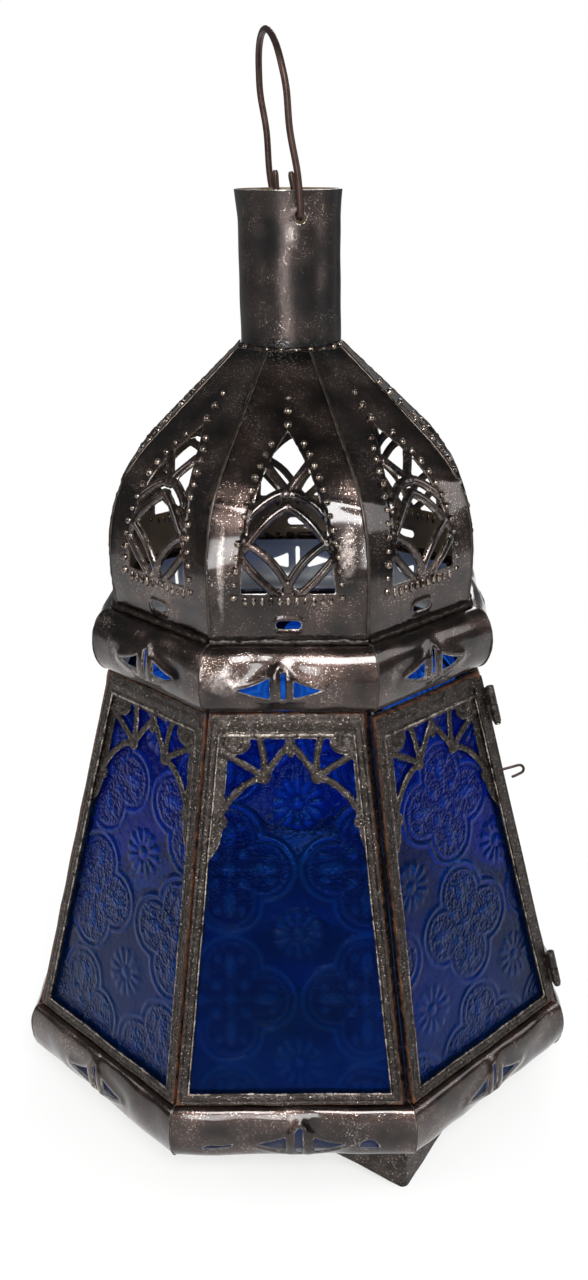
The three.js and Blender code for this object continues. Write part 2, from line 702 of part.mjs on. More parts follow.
// A leaf strip along the corner with two knuckles, each on a tongue of the leaf. Side is 1 for the
// door's strip, whose knuckles are rolled round the pins, and -1 for the fixed one, which holds them.
function hingeStrip(side, knuckleShift, low, high) {
  const leaf = new THREE.BoxGeometry(SHEET, HINGE_LEAF_WIDTH, high - low);
  leaf.translate(SEAT + SHEET / 2, side * (HINGE_LEAF_WIDTH / 2 + HINGE_LEAF_EDGE), (low + high) / 2);
  leaf.rotateZ(side * HALF_ANGLE);
  const bore = disc(HINGE_OFFSET, 0, HINGE_PIN_RADIUS + SEAT);
  const tongueHeight = HINGE_KNUCKLE_RADIUS + SEAT;
  let body = solid(leaf);
  for (const pairLow of pairLows) {
    const start = pairLow + knuckleShift;
    const tongue = new THREE.BoxGeometry(tongueHeight, HINGE_TONGUE, HINGE_KNUCKLE_LENGTH);
    tongue.translate(SEAT + tongueHeight / 2, side * HINGE_LEAF_EDGE, start + HINGE_KNUCKLE_LENGTH / 2);
    tongue.rotateZ(side * HALF_ANGLE);
    body = body
      .add(solid(slab(disc(HINGE_OFFSET, 0, HINGE_KNUCKLE_RADIUS), start, HINGE_KNUCKLE_LENGTH, 7)))
      .add(solid(tongue));
    body = side > 0
      ? body.subtract(solid(slab(bore, start - SHEET, HINGE_KNUCKLE_LENGTH + 2 * SHEET)))
      : body.add(hingePin(pairLow));
  }
  return drawable(body);
}

const stripHigh = cornerLength - LOOSE_TOP_GAP - HINGE_END;
const doorStrip = hingeStrip(1, 0, HINGE_END, stripHigh);
const fixedStrip = hingeStrip(-1, HINGE_KNUCKLE_LENGTH + SEAT, HINGE_END, stripHigh);
place(hingeTilt, 'door_hinge_strip', doorStrip, DULL_TIN, 0.5, 0.85);
place(hingeTilt, 'fixed_hinge_strip', fixedStrip, DULL_TIN, 0.5, 0.85);

// Turn-hook in the door's free stile: a wire that comes out of the stile and curls back below
function hookPath() {
  const points = [];
  const add = (out, up) => points.push(new THREE.Vector3(0, up, out));
  add(-FRAME_DEPTH - HOOK_TAIL, 0);
  add(-FRAME_DEPTH / 2, 0);
  add(0, 0);
  add(HOOK_REACH * 0.5, 0);
  add(HOOK_REACH, 0);
  for (let i = 1; i < 6; i += 1) {
    const angle = Math.PI * (0.5 - i / 6);
    add(HOOK_REACH + HOOK_BEND * Math.cos(angle), HOOK_BEND * Math.sin(angle) - HOOK_BEND);
  }
  add(HOOK_REACH, -2 * HOOK_BEND);
  add(HOOK_REACH - HOOK_RETURN, -2.4 * HOOK_BEND);
  return new THREE.CatmullRomCurve3(points, false, 'centripetal');
}

function latchHook() {
  const wire = new THREE.ExtrudeGeometry(wireSection(HOOK_WIRE / 2, 8), {
    steps: HOOK_STEPS,
    extrudePath: hookPath(),
  });
  const button = new THREE.CylinderGeometry(HOOK_WIRE, HOOK_WIRE, HOOK_TAIL / 2, 10);
  button.rotateX(Math.PI / 2).translate(0, 0, -FRAME_DEPTH - SEAT - HOOK_TAIL / 4);
  const hook = drawable(solid(wire).add(solid(button)));
  hook.translate(hookAt.x, hookAt.y, hookAt.z);
  return onSlope(hook);
}
place(faces[DOOR_FACE - 1].group, 'latch_hook', latchHook(), WIRE_BROWN, 0.45, 0.85);

// Base plate, candle cup and folded feet
function octagon(apothem, low, thickness) {
  const radius = apothem / Math.cos(HALF_ANGLE);
  const corners = [];
  for (let i = 0; i < SIDES; i += 1) {
    const angle = (i + 0.5) * STEP_ANGLE;
    corners.push([radius * Math.cos(angle), radius * Math.sin(angle)]);
  }
  return slab(polygon(corners), low, thickness);
}

const plateLow = Z_BASE_BAND + SHEET + SEAT;
const cupLow = plateLow + SHEET + SEAT;
place(lantern, 'base_plate', octagon(BODY_BASE_APOTHEM - 1, plateLow, SHEET), DULL_TIN, 0.6, 0.8);

const cupPoints = [
  [0, 0],
  [CUP_RADIUS, 0],
  [CUP_RADIUS, CUP_HEIGHT],
  [CUP_RADIUS - SHEET, CUP_HEIGHT],
  [CUP_RADIUS - SHEET, SHEET],
  [0, SHEET],
].map(([r, z]) => new THREE.Vector2(r, z + cupLow));
const cup = new THREE.LatheGeometry(cupPoints, CUP_SEGMENTS).rotateX(Math.PI / 2);
place(lantern, 'candle_cup', cup, DULL_TIN, 0.6, 0.8);

// A foot is one sheet folded round a corner, with a right triangle on each side of the fold
function foot() {
  const apothem = BODY_BASE_APOTHEM - FOOT_INSET;
  const half = apothem * TAN_HALF;
  const top = FOOT_HEIGHT - SEAT;
  const flap = (side) => {
    const shape = polygon([
      [side * (half + FOOT_LENGTH), top],
      [side * (half + FOOT_LENGTH), 0],
      [side * (half - FOOT_TIP), 0],
      [side * (half - FOOT_LENGTH), top],
    ]);
    const sheet = solid(throughFace(shape, apothem - SHEET, apothem));
    return sheet.rotate([0, 0, side * -THREE.MathUtils.radToDeg(HALF_ANGLE)]);
  };
  const right = flap(1);
  const left = flap(-1);
  const outerCorner = polygon([[0, 0], [-FAR, 0], [-FAR, -FAR], [0, -FAR]]);
  const keepLeft = solid(slab(outerCorner, -1, top + 2));
  const keepRight = keepLeft.rotate([0, 0, 90]);
  return drawable(right.intersect(keepLeft).add(left.intersect(keepRight)));
}

FOOT_CORNERS.forEach((corner, i) => {
  const group = new THREE.Group();
  group.rotation.z = (corner - 0.5) * STEP_ANGLE;
  place(group, `foot_${i + 1}`, foot(), DULL_TIN, 0.5, 0.85);
  lantern.add(group);
});

export default lantern;
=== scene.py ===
# %% [markdown]
# # A hanging lantern of tin and blue glass
# The real lantern is tinplate that was cut with snips and chisels, pressed, folded and soldered,
# then lacquered dark brown. Its frame, the CAD model, is already exact in size and in its joints,
# so this file keeps every place and gives each piece the form and the finish of worked metal.
# %% Load the frame
import math

import bpy
import numpy as np
from mathutils import Matrix, Vector


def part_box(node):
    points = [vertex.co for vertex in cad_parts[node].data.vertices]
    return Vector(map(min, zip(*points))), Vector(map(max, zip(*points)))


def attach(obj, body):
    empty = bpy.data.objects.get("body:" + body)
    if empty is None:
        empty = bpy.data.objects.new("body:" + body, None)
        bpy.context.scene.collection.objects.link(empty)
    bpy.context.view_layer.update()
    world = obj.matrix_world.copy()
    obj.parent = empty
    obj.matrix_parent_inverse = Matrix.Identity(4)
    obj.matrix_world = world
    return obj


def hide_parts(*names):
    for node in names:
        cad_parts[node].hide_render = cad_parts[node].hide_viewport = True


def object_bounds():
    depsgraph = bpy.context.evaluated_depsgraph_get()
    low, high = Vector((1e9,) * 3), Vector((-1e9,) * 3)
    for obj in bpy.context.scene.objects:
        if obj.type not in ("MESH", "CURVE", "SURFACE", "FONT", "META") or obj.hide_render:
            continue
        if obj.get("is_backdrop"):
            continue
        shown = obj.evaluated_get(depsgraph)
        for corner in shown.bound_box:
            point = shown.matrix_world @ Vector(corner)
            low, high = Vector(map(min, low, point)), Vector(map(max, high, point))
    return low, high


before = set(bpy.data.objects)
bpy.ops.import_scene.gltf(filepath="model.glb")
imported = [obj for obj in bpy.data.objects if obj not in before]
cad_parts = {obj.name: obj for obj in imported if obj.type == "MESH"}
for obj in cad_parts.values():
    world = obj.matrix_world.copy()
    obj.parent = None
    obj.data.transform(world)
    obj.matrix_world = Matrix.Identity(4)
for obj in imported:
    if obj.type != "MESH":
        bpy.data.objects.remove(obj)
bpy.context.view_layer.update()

# %% [markdown]
# ## Sizes that the pieces share
# Lengths are worked in millimetres, as a tinsmith would, and turned into metres when a mesh is made.
# Levels are read from the boxes of the CAD nodes, so a piece always starts where its node is.
# %% Levels and angles
MM = 0.001
SIDES = 8
TURN = math.tau / SIDES
TAN_HALF = math.tan(TURN / 2)
SHEET = 0.6
SEAT = 0.3
BODY_BASE_APOTHEM = 110.6
BODY_TOP_APOTHEM = 73.7


def level(node, end):
    """The height of the low (0) or the high (1) end of a node's box, in millimetres."""
    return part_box(node)[end][2] / MM


Z_BASE = level("base_band_1", 0)
Z_BODY = level("base_band_1", 1)
Z_SHOULDER = level("shoulder_band_1", 0)
Z_DOME = level("shoulder_band_1", 1)
Z_NECK = level("dome_gore_1", 1)
Z_RIM = level("neck_tube", 1)
print("levels", [round(z, 1) for z in (Z_BASE, Z_BODY, Z_SHOULDER, Z_DOME, Z_NECK, Z_RIM)])

# %% [markdown]
# ## The camera
# The photograph was taken from about half a metre, a little above the rim of the tube, which is why
# the base looks so wide. The lens follows from the photograph's perspective, measured on the rings
# of corners, and a small shift puts the lantern where the photograph has it.
# %% Camera
PHOTO_HEIGHT = 1280
FOCAL_PIXELS = 1275
SHIFT_PIXELS = (-38, -4)
SENSOR_WIDTH = 36
CAMERA_PLACE = (0.0160, -0.5034, 0.3860)
CAMERA_PAN, CAMERA_DIP, CAMERA_ROLL = (math.radians(angle) for angle in (0.04, 20.78, -0.28))
camera_data = bpy.data.cameras.new("camera")
camera_data.sensor_width = SENSOR_WIDTH
camera_data.lens = SENSOR_WIDTH * FOCAL_PIXELS / PHOTO_HEIGHT
camera_data.shift_x, camera_data.shift_y = (pixels / PHOTO_HEIGHT for pixels in SHIFT_PIXELS)
camera = bpy.data.objects.new("camera", camera_data)
bpy.context.scene.collection.objects.link(camera)
bpy.context.scene.camera = camera
aim = Matrix.Rotation(CAMERA_PAN, 4, "Z") @ Matrix.Rotation(math.pi / 2 - CAMERA_DIP, 4, "X")
camera.matrix_world = Matrix.Translation(CAMERA_PLACE) @ aim @ Matrix.Rotation(CAMERA_ROLL, 4, "Z")
print("lens", round(camera_data.lens, 2), "mm")

# %% [markdown]
# ## Nodes by one small function
# Materials and Geometry Nodes are both trees of nodes. One function adds a node, changes its settings
# and then sets or links its inputs, so each tree below reads as a list of steps.
# %% Node helper
def add(tree, kind, inputs=None, **settings):
    """Adds a node; an input is a value to set or the socket that it is linked from."""
    made = tree.nodes.new(kind)
    for name, value in settings.items():
        setattr(made, name, value)
    for name, value in (inputs or {}).items():
        if isinstance(value, bpy.types.NodeSocket):
            tree.links.new(value, made.inputs[name])
        else:
            made.inputs[name].default_value = value
    return made


def linear(code):
    """An sRGB hex colour such as 3a2f2b as linear red, green, blue and alpha."""
    parts = [int(code[i:i + 2], 16) / 255 for i in (0, 2, 4)]
    return [p / 12.92 if p <= 0.04045 else ((p + 0.055) / 1.055) ** 2.4 for p in parts] + [1.0]


def new_material(name):
    """A material with its tree, its Principled shader and the place of a point on the piece."""
    material = bpy.data.materials.new(name)
    material.use_nodes = True
    tree = material.node_tree
    where = add(tree, "ShaderNodeTexCoord").outputs["Object"]
    return material, tree, tree.nodes["Principled BSDF"], where


print("node helpers ready")


# %% [markdown]
# ## Room and light
# A white table in a white room, and five soft lamps. The background is white to the camera, to what
# shines through glass and, up to the table's edge, to what metal and glass reflect. Above that the
# room is dimmer in reflections, as a real one is, so dark metal keeps its contrast. A picture of a
# real room would reflect in a livelier way, but it would be one more file to carry along.
# %% World
LOOKING = ("Is Camera Ray", "Is Transmission Ray", "Is Glossy Ray")


def rays_named(tree, *kinds):
    """1 for the kinds of ray that are named and 0 for the others."""
    rays = add(tree, "ShaderNodeLightPath")
    found = rays.outputs[kinds[0]]
    for kind in kinds[1:]:
        found = add(tree, "ShaderNodeMath", {0: found, 1: rays.outputs[kind]}, operation="MAXIMUM").outputs[0]
    return found


scene = bpy.context.scene
scene.view_settings.view_transform = "Standard"
world = bpy.data.worlds.new("white room")
scene.world = world
world.use_nodes = True
tree = world.node_tree
direction = add(tree, "ShaderNodeTexCoord").outputs["Generated"]
upward = add(tree, "ShaderNodeSeparateXYZ", {0: direction}).outputs["Z"]
walls = add(tree, "ShaderNodeMapRange", {"Value": upward, "From Min": -0.4, "From Max": -0.16, "To Min": 1.0,
                                         "To Max": 0.13}, interpolation_type="SMOOTHSTEP")
white = add(tree, "ShaderNodeMix", {0: rays_named(tree, *LOOKING[:2]), 2: walls.outputs[0], 3: 1.0})
strength = add(tree, "ShaderNodeMix", {0: rays_named(tree, *LOOKING), 2: 0.55, 3: white.outputs[0]})
tree.links.new(strength.outputs[0], tree.nodes["Background"].inputs["Strength"])
tree.nodes["Background"].inputs["Color"].default_value = (1, 1, 1, 1)
print("world", len(tree.nodes), "nodes")

# %% [markdown]
# The table is a plain square. Near the lantern it keeps a soft shadow, which shows that the lantern
# stands, and towards its edge it fades into the white room. The shader mixes in a glow only for rays
# that look at the board, also through glass or by a reflection, so the light that it scatters stays
# that of real paint.
# %% Table
TABLE_HALF = 1.0
floor_data = bpy.data.meshes.new("floor")
floor_corners = [(x * TABLE_HALF, y * TABLE_HALF, 0) for x, y in ((-1, -1), (1, -1), (1, 1), (-1, 1))]
floor_data.from_pydata(floor_corners, [], [(0, 1, 2, 3)])
floor = bpy.data.objects.new("floor", floor_data)
scene.collection.objects.link(floor)
floor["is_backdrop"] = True
pale_floor, tree, shader, where = new_material("pale painted board")
shader.inputs["Base Color"].default_value = linear("f1f1f0")
shader.inputs["Roughness"].default_value = 0.8
shader.inputs["Specular IOR Level"].default_value = 0.1
away = add(tree, "ShaderNodeVectorMath", {0: where}, operation="LENGTH").outputs["Value"]
kept = add(tree, "ShaderNodeMapRange", {"Value": away, "From Min": 0.15, "From Max": 0.9, "To Min": 0.62,
                                        "To Max": 1.0}, interpolation_type="SMOOTHSTEP")
share = add(tree, "ShaderNodeMath", {0: rays_named(tree, *LOOKING), 1: kept.outputs[0]},
            operation="MULTIPLY")
glow = add(tree, "ShaderNodeEmission", {"Color": (1, 1, 1, 1), "Strength": 1.0})
blend = add(tree, "ShaderNodeMixShader", {0: share.outputs[0], 1: shader.outputs[0], 2: glow.outputs[0]})
tree.links.new(blend.outputs[0], tree.nodes["Material Output"].inputs["Surface"])
floor_data.materials.append(pale_floor)
print("table", 2 * TABLE_HALF, "m wide")


# %% [markdown]
# Area lamps give the long, soft highlights that bent tin shows, where point lamps would leave hard
# dots. The key lamp stands high in front, a tall strip puts a streak down the tube and the gores, and
# three more lamps lift the sides and the back.
# %% Lamps
def lamp(name, place, target, size, power, height=None):
    """A soft lamp that looks at a point, square unless it has a height."""
    data = bpy.data.lights.new(name, "AREA")
    data.shape = "RECTANGLE"
    data.size = size
    data.size_y = height or size
    data.energy = power
    made = bpy.data.objects.new(name, data)
    scene.collection.objects.link(made)
    made.location = place
    made.rotation_euler = (Vector(target) - Vector(place)).to_track_quat("-Z", "Y").to_euler()


lamp("key lamp", (0.12, -1.05, 0.95), (0, 0, 0.2), 0.42, 15)
lamp("strip lamp", (-0.14, -1.45, 0.36), (0, 0, 0.3), 0.2, 5.5, height=0.6)
lamp("left lamp", (-1.1, -0.35, 0.75), (0, 0, 0.2), 0.5, 3.6)
lamp("right lamp", (1.1, -0.2, 0.6), (0, 0, 0.2), 0.5, 2.6)
lamp("back lamp", (0.2, 1.2, 0.9), (0, 0, 0.2), 0.6, 6)

# %% [markdown]
# ## Finishes
# Tinplate lacquered in dark brown is nearly black where it mirrors nothing, pinkish brown in the
# light and bright where the lacquer has chipped to bare tin; specks of near-white are painted glints.
# Attributes on the meshes say where a finish changes: edge along a cut, rust in a joint, burnt beside
# solder, a painted sheen where highlights are painted on, inside on the unlacquered back and tinned
# where that back is still bright. The patterns are noise on Object coordinates, because they need no
# unwrapping and run on over a bend without a seam.
# %% Lacquered tinplate: the brown
lacquered_tin, tree, shader, where = new_material("lacquered tinplate")
edge, rust, inside, burn, thin, tinned = (
    add(tree, "ShaderNodeAttribute", attribute_name=mark).outputs["Fac"]
    for mark in ("edge", "rust", "inside", "burnt", "thin", "tinned"))
# Brushed-on lacquer lies thicker and thinner over about 15 mm
mottle = add(tree, "ShaderNodeTexNoise", {"Vector": where, "Scale": 70.0, "Detail": 4.0, "Roughness": 0.5})
tone = add(tree, "ShaderNodeMapRange", {"Value": mottle.outputs[0], "From Min": 0.34, "From Max": 0.66})
brown = add(tree, "ShaderNodeMix", {0: tone.outputs[0], 6: linear("1a1412"), 7: linear("4a3b36")},
            data_type="RGBA")
# Black patches about 30 mm across are painted dark reflections; the joints that the iron heated are burnt
# black
dark_reflection_noise = add(tree, "ShaderNodeTexNoise", {"Vector": where, "Scale": 26.0, "Detail": 4.0, "Roughness": 0.5})
patch = add(tree, "ShaderNodeMapRange", {"Value": dark_reflection_noise.outputs[0], "From Min": 0.5, "From Max": 0.7,
                                         "To Max": 0.8})
patch = add(tree, "ShaderNodeMath", {0: patch.outputs[0], 1: burn}, operation="MAXIMUM")
brown = add(tree, "ShaderNodeMix", {0: patch.outputs[0], 6: brown.outputs[2], 7: linear("0b0808")},
            data_type="RGBA")
# A painted sheen: pale grey where highlights are painted on, broken up by the flakes
flakes = add(tree, "ShaderNodeTexNoise", {"Vector": where, "Scale": 420.0, "Detail": 4.0, "Roughness": 0.7})
worn_thin = add(tree, "ShaderNodeMath", {0: thin, 1: flakes.outputs[0]}, operation="MULTIPLY")
worn_thin = add(tree, "ShaderNodeMapRange", {"Value": worn_thin.outputs[0], "From Min": 0.22,
                                             "From Max": 0.5})
brown = add(tree, "ShaderNodeMix", {0: worn_thin.outputs[0], 6: brown.outputs[2], 7: linear("8c827d")},
            data_type="RGBA")
print("brown lacquer", len(tree.nodes), "nodes")

# %% [markdown]
# Chips, worn edges, painted glints and rust lie on top of the brown, each mixed in by its own mask. The
# same noise of flakes breaks up the painted sheen, the worn and the rusty places, because lacquer comes
# off in the same small scales wherever it goes. The specks, near-white painted glints, crowd together
# where the lacquer is pale.
# %% Lacquered tinplate: chips and rust
# The real glints are 0.3 mm, and these painted glint specks are drawn at about 0.6 mm to show
specks = add(tree, "ShaderNodeTexNoise", {"Vector": where, "Scale": 1900.0, "Detail": 2.0, "Roughness": 0.7})
crowd = add(tree, "ShaderNodeMapRange", {"Value": mottle.outputs[0], "From Min": 0.35, "From Max": 0.65,
                                         "To Min": 0.74, "To Max": 0.62})
glint_specks = add(tree, "ShaderNodeMath", {0: specks.outputs[0], 1: crowd.outputs[0]},
                 operation="GREATER_THAN")
worn = add(tree, "ShaderNodeMath", {0: edge, 1: flakes.outputs[0]}, operation="MULTIPLY")
worn = add(tree, "ShaderNodeMapRange", {"Value": worn.outputs[0], "From Min": 0.36, "From Max": 0.6,
                                        "To Max": 0.9})
chips_and_glints = add(tree, "ShaderNodeMath", {0: glint_specks.outputs[0], 1: worn.outputs[0]}, operation="MAXIMUM")
chip_and_glint_colour = add(tree, "ShaderNodeMix", {0: flakes.outputs[0], 6: linear("6b615a"), 7: linear("e6ddd3")},
                  data_type="RGBA")
colour = add(tree, "ShaderNodeMix", {0: chips_and_glints.outputs[0], 6: brown.outputs[2], 7: chip_and_glint_colour.outputs[2]},
             data_type="RGBA")
rusted = add(tree, "ShaderNodeMath", {0: rust, 1: flakes.outputs[0]}, operation="MULTIPLY")
rusted = add(tree, "ShaderNodeMapRange", {"Value": rusted.outputs[0], "From Min": 0.3, "From Max": 0.6})
rust_colour = add(tree, "ShaderNodeMix", {0: flakes.outputs[0], 6: linear("2c180d"), 7: linear("6d4023")},
                  data_type="RGBA")
colour = add(tree, "ShaderNodeMix", {0: rusted.outputs[0], 6: colour.outputs[2], 7: rust_colour.outputs[2]},
             data_type="RGBA")
print("with chips and rust", len(tree.nodes), "nodes")

# %% [markdown]
# The back was never lacquered. It is brown with soot and age, or still bright inside the bands.
# Roughness follows the mottle, so no highlight runs on evenly, and a clear coat puts the lacquer's
# gloss over the metal. Two bumps, one on the other, stand for the grain and for small dents.
# %% Lacquered tinplate: back and shine
back_colour = add(tree, "ShaderNodeMix", {0: mottle.outputs[0], 6: linear("4c3c29"), 7: linear("85725a")},
                  data_type="RGBA")
back_colour = add(tree, "ShaderNodeMix", {0: tinned, 6: back_colour.outputs[2], 7: linear("bfc3c6")},
                  data_type="RGBA")
colour = add(tree, "ShaderNodeMix", {0: inside, 6: colour.outputs[2], 7: back_colour.outputs[2]},
             data_type="RGBA")
tree.links.new(colour.outputs[2], shader.inputs["Base Color"])
rough = add(tree, "ShaderNodeMapRange", {"Value": mottle.outputs[0], "From Min": 0.3, "From Max": 0.7,
                                         "To Min": 0.1, "To Max": 0.28})
matte = add(tree, "ShaderNodeMath", {0: inside, 1: 0.5}, operation="MULTIPLY")
matte = add(tree, "ShaderNodeMath", {0: rusted.outputs[0], 1: matte.outputs[0]}, operation="MAXIMUM")
rough = add(tree, "ShaderNodeMath", {0: rough.outputs[0], 1: matte.outputs[0]}, operation="MAXIMUM")
tree.links.new(rough.outputs[0], shader.inputs["Roughness"])
metal = add(tree, "ShaderNodeMapRange", {"Value": matte.outputs[0], "To Min": 0.9, "To Max": 0.1})
tree.links.new(metal.outputs[0], shader.inputs["Metallic"])
shader.inputs["Coat Weight"].default_value = 0.7
shader.inputs["Coat Roughness"].default_value = 0.1
grain = add(tree, "ShaderNodeBump", {"Height": specks.outputs[0], "Strength": 0.35, "Distance": 0.0003})
dents = add(tree, "ShaderNodeBump", {"Height": mottle.outputs[0], "Strength": 0.5, "Distance": 0.0012,
                                     "Normal": grain.outputs[0]})
tree.links.new(dents.outputs[0], shader.inputs["Normal"])
print("finish", lacquered_tin.name, len(tree.nodes), "nodes")

# %% [markdown]
# The frames and the pierced corners are the same tin with thinner, greyer lacquer. They are rougher
# to the touch, and the grooves beside them are orange with rust.
# %% Thinly lacquered tinplate
dull_tin, tree, shader, where = new_material("thinly lacquered tinplate")
edge, rust = (add(tree, "ShaderNodeAttribute", attribute_name=mark).outputs["Fac"]
              for mark in ("edge", "rust"))
mottle = add(tree, "ShaderNodeTexNoise", {"Vector": where, "Scale": 260.0, "Detail": 5.0, "Roughness": 0.7})
tone = add(tree, "ShaderNodeMapRange", {"Value": mottle.outputs[0], "From Min": 0.28, "From Max": 0.72})
grey = add(tree, "ShaderNodeMix", {0: tone.outputs[0], 6: linear("14100e"), 7: linear("463f3b")},
           data_type="RGBA")
specks = add(tree, "ShaderNodeTexNoise", {"Vector": where, "Scale": 1400.0, "Detail": 3.0, "Roughness": 0.7})
# Specks of near-white are painted glints, as on the lacquer
glint_specks = add(tree, "ShaderNodeMapRange", {"Value": specks.outputs[0], "From Min": 0.61, "From Max": 0.68})
worn = add(tree, "ShaderNodeMath", {0: edge, 1: mottle.outputs[0]}, operation="MULTIPLY")
worn = add(tree, "ShaderNodeMapRange", {"Value": worn.outputs[0], "From Min": 0.42, "From Max": 0.62,
                                        "To Max": 0.85})
chips_and_glints = add(tree, "ShaderNodeMath", {0: glint_specks.outputs[0], 1: worn.outputs[0]}, operation="MAXIMUM")
colour = add(tree, "ShaderNodeMix", {0: chips_and_glints.outputs[0], 6: grey.outputs[2], 7: linear("b5aba0")},
             data_type="RGBA")
flakes = add(tree, "ShaderNodeTexNoise", {"Vector": where, "Scale": 300.0, "Detail": 5.0, "Roughness": 0.7})
rusted = add(tree, "ShaderNodeMath", {0: rust, 1: flakes.outputs[0]}, operation="MULTIPLY")
rusted = add(tree, "ShaderNodeMapRange", {"Value": rusted.outputs[0], "From Min": 0.3, "From Max": 0.55})
rust_colour = add(tree, "ShaderNodeMix", {0: specks.outputs[0], 6: linear("2e190c"), 7: linear("7c441e")},
                  data_type="RGBA")
colour = add(tree, "ShaderNodeMix", {0: rusted.outputs[0], 6: colour.outputs[2], 7: rust_colour.outputs[2]},
             data_type="RGBA")
tree.links.new(colour.outputs[2], shader.inputs["Base Color"])
rough = add(tree, "ShaderNodeMapRange", {"Value": tone.outputs[0], "To Min": 0.12, "To Max": 0.34})
rough = add(tree, "ShaderNodeMath", {0: rough.outputs[0], 1: rusted.outputs[0]}, operation="MAXIMUM")
tree.links.new(rough.outputs[0], shader.inputs["Roughness"])
metal = add(tree, "ShaderNodeMapRange", {"Value": rusted.outputs[0], "To Min": 0.85, "To Max": 0.1})
tree.links.new(metal.outputs[0], shader.inputs["Metallic"])
grain = add(tree, "ShaderNodeBump", {"Height": specks.outputs[0], "Strength": 0.4, "Distance": 0.0004})
dents = add(tree, "ShaderNodeBump", {"Height": mottle.outputs[0], "Strength": 0.6, "Distance": 0.0012,
                                     "Normal": grain.outputs[0]})
tree.links.new(dents.outputs[0], shader.inputs["Normal"])
print("finish", dull_tin.name)

# %% [markdown]
# Solder is soft and bright when fresh. Here it has gone grey and brown, and it lies in beads whose
# skin is smooth but uneven. The flux left round the dome's foot has burnt to a glossy black.
# One noise drives the colour, the shine and the bumps of such a metal, since all three come from the
# same grime and pits, and one function makes all of them.
# %% Solder, burnt flux and iron wire
def mottled_metal(name, scale, detail, roughness, dark, light, metallic, shine, skin):
    """A grimy metal; shine is the range of its roughness, skin the strength and depth of its bumps."""
    material, tree, shader, where = new_material(name)
    mottle = add(tree, "ShaderNodeTexNoise", {"Vector": where, "Scale": scale, "Detail": detail,
                                              "Roughness": roughness})
    colour = add(tree, "ShaderNodeMix", {0: mottle.outputs[0], 6: linear(dark), 7: linear(light)},
                 data_type="RGBA")
    tree.links.new(colour.outputs[2], shader.inputs["Base Color"])
    shader.inputs["Metallic"].default_value = metallic
    rough = add(tree, "ShaderNodeMapRange", {"Value": mottle.outputs[0], "To Min": shine[0],
                                             "To Max": shine[1]})
    tree.links.new(rough.outputs[0], shader.inputs["Roughness"])
    bumps = add(tree, "ShaderNodeBump", {"Height": mottle.outputs[0], "Strength": skin[0],
                                         "Distance": skin[1]})
    tree.links.new(bumps.outputs[0], shader.inputs["Normal"])
    return material


solder = mottled_metal("tarnished solder", 260.0, 4.0, 0.6, "171210", "5e544d", 0.9, (0.2, 0.45),
                       (0.5, 0.0006))
burnt_flux = mottled_metal("burnt flux over solder", 330.0, 4.0, 0.6, "0c0a09", "2a221d", 0.6, (0.08, 0.3),
                           (0.7, 0.0008))
iron_wire = mottled_metal("rusty drawn iron wire", 210.0, 5.0, 0.65, "1f1614", "5b4740", 0.8, (0.25, 0.55),
                          (0.4, 0.0004))
print("finishes", solder.name, burnt_flux.name, iron_wire.name)

# %% [markdown]
# The panes are rolled glass, coloured through with cobalt. Light that comes in at the far side passes
# two panes, so the blue is doubled and goes deep; small bubbles and the rolled pattern make it sparkle.
# %% Cobalt glass
cobalt_glass, tree, shader, where = new_material("rolled cobalt glass")
# The lower half of the panes is paler: dust, and a painted reflection of the bright table
height = add(tree, "ShaderNodeSeparateXYZ", {0: where}).outputs["Z"]
dust_and_table_reflection = add(tree, "ShaderNodeMapRange", {"Value": height, "From Min": 0.16, "From Max": 0.05})
cloud = add(tree, "ShaderNodeTexNoise", {"Vector": where, "Scale": 60.0, "Detail": 4.0, "Roughness": 0.6})
dust_and_table_reflection = add(tree, "ShaderNodeMath", {0: dust_and_table_reflection.outputs[0], 1: cloud.outputs[0]}, operation="MULTIPLY")
# The raised outlines are a lighter blue, a painted highlight, and the stippled ground, which scatters light,
# is deeper
stippled, raised = (add(tree, "ShaderNodeAttribute", attribute_name=mark).outputs["Fac"]
                    for mark in ("stippled", "raised"))
# The top of a pane is a deeper blue, a painted reflection of the dimmer room above
dim_top_reflection = add(tree, "ShaderNodeMapRange", {"Value": height, "From Min": 0.115, "From Max": 0.165})
body_blue = add(tree, "ShaderNodeMix", {0: dim_top_reflection.outputs[0], 6: linear("0638a0"), 7: linear("042a80")},
                data_type="RGBA")
ground = add(tree, "ShaderNodeMix", {0: stippled, 6: body_blue.outputs[2], 7: linear("042d8a")},
             data_type="RGBA")
lines = add(tree, "ShaderNodeMix", {0: raised, 6: ground.outputs[2], 7: linear("1c68d0")}, data_type="RGBA")
colour = add(tree, "ShaderNodeMix", {0: dust_and_table_reflection.outputs[0], 6: lines.outputs[2], 7: linear("2f70ba")},
             data_type="RGBA")
tree.links.new(colour.outputs[2], shader.inputs["Base Color"])
shader.inputs["Transmission Weight"].default_value = 0.97
shader.inputs["IOR"].default_value = 1.45
shader.inputs["Roughness"].default_value = 0.05
shader.inputs["Specular Tint"].default_value = (0.03, 0.04, 0.06, 1.0)
# The stippled ground inside the roundels is 0.6 mm in the real glass and drawn at 1.3 mm to show
stipple = add(tree, "ShaderNodeTexVoronoi", {"Vector": where, "Scale": 760.0})
stipple = add(tree, "ShaderNodeMath", {0: stipple.outputs[0], 1: stippled}, operation="MULTIPLY")
ripples = add(tree, "ShaderNodeTexNoise", {"Vector": where, "Scale": 420.0, "Detail": 3.0, "Roughness": 0.5})
waves = add(tree, "ShaderNodeBump", {"Height": ripples.outputs[0], "Strength": 0.3, "Distance": 0.0006})
waves = add(tree, "ShaderNodeBump", {"Height": stipple.outputs[0], "Strength": 0.6, "Distance": 0.0005,
                                     "Normal": waves.outputs[0]})
tree.links.new(waves.outputs[0], shader.inputs["Normal"])
print("finish", cobalt_glass.name)

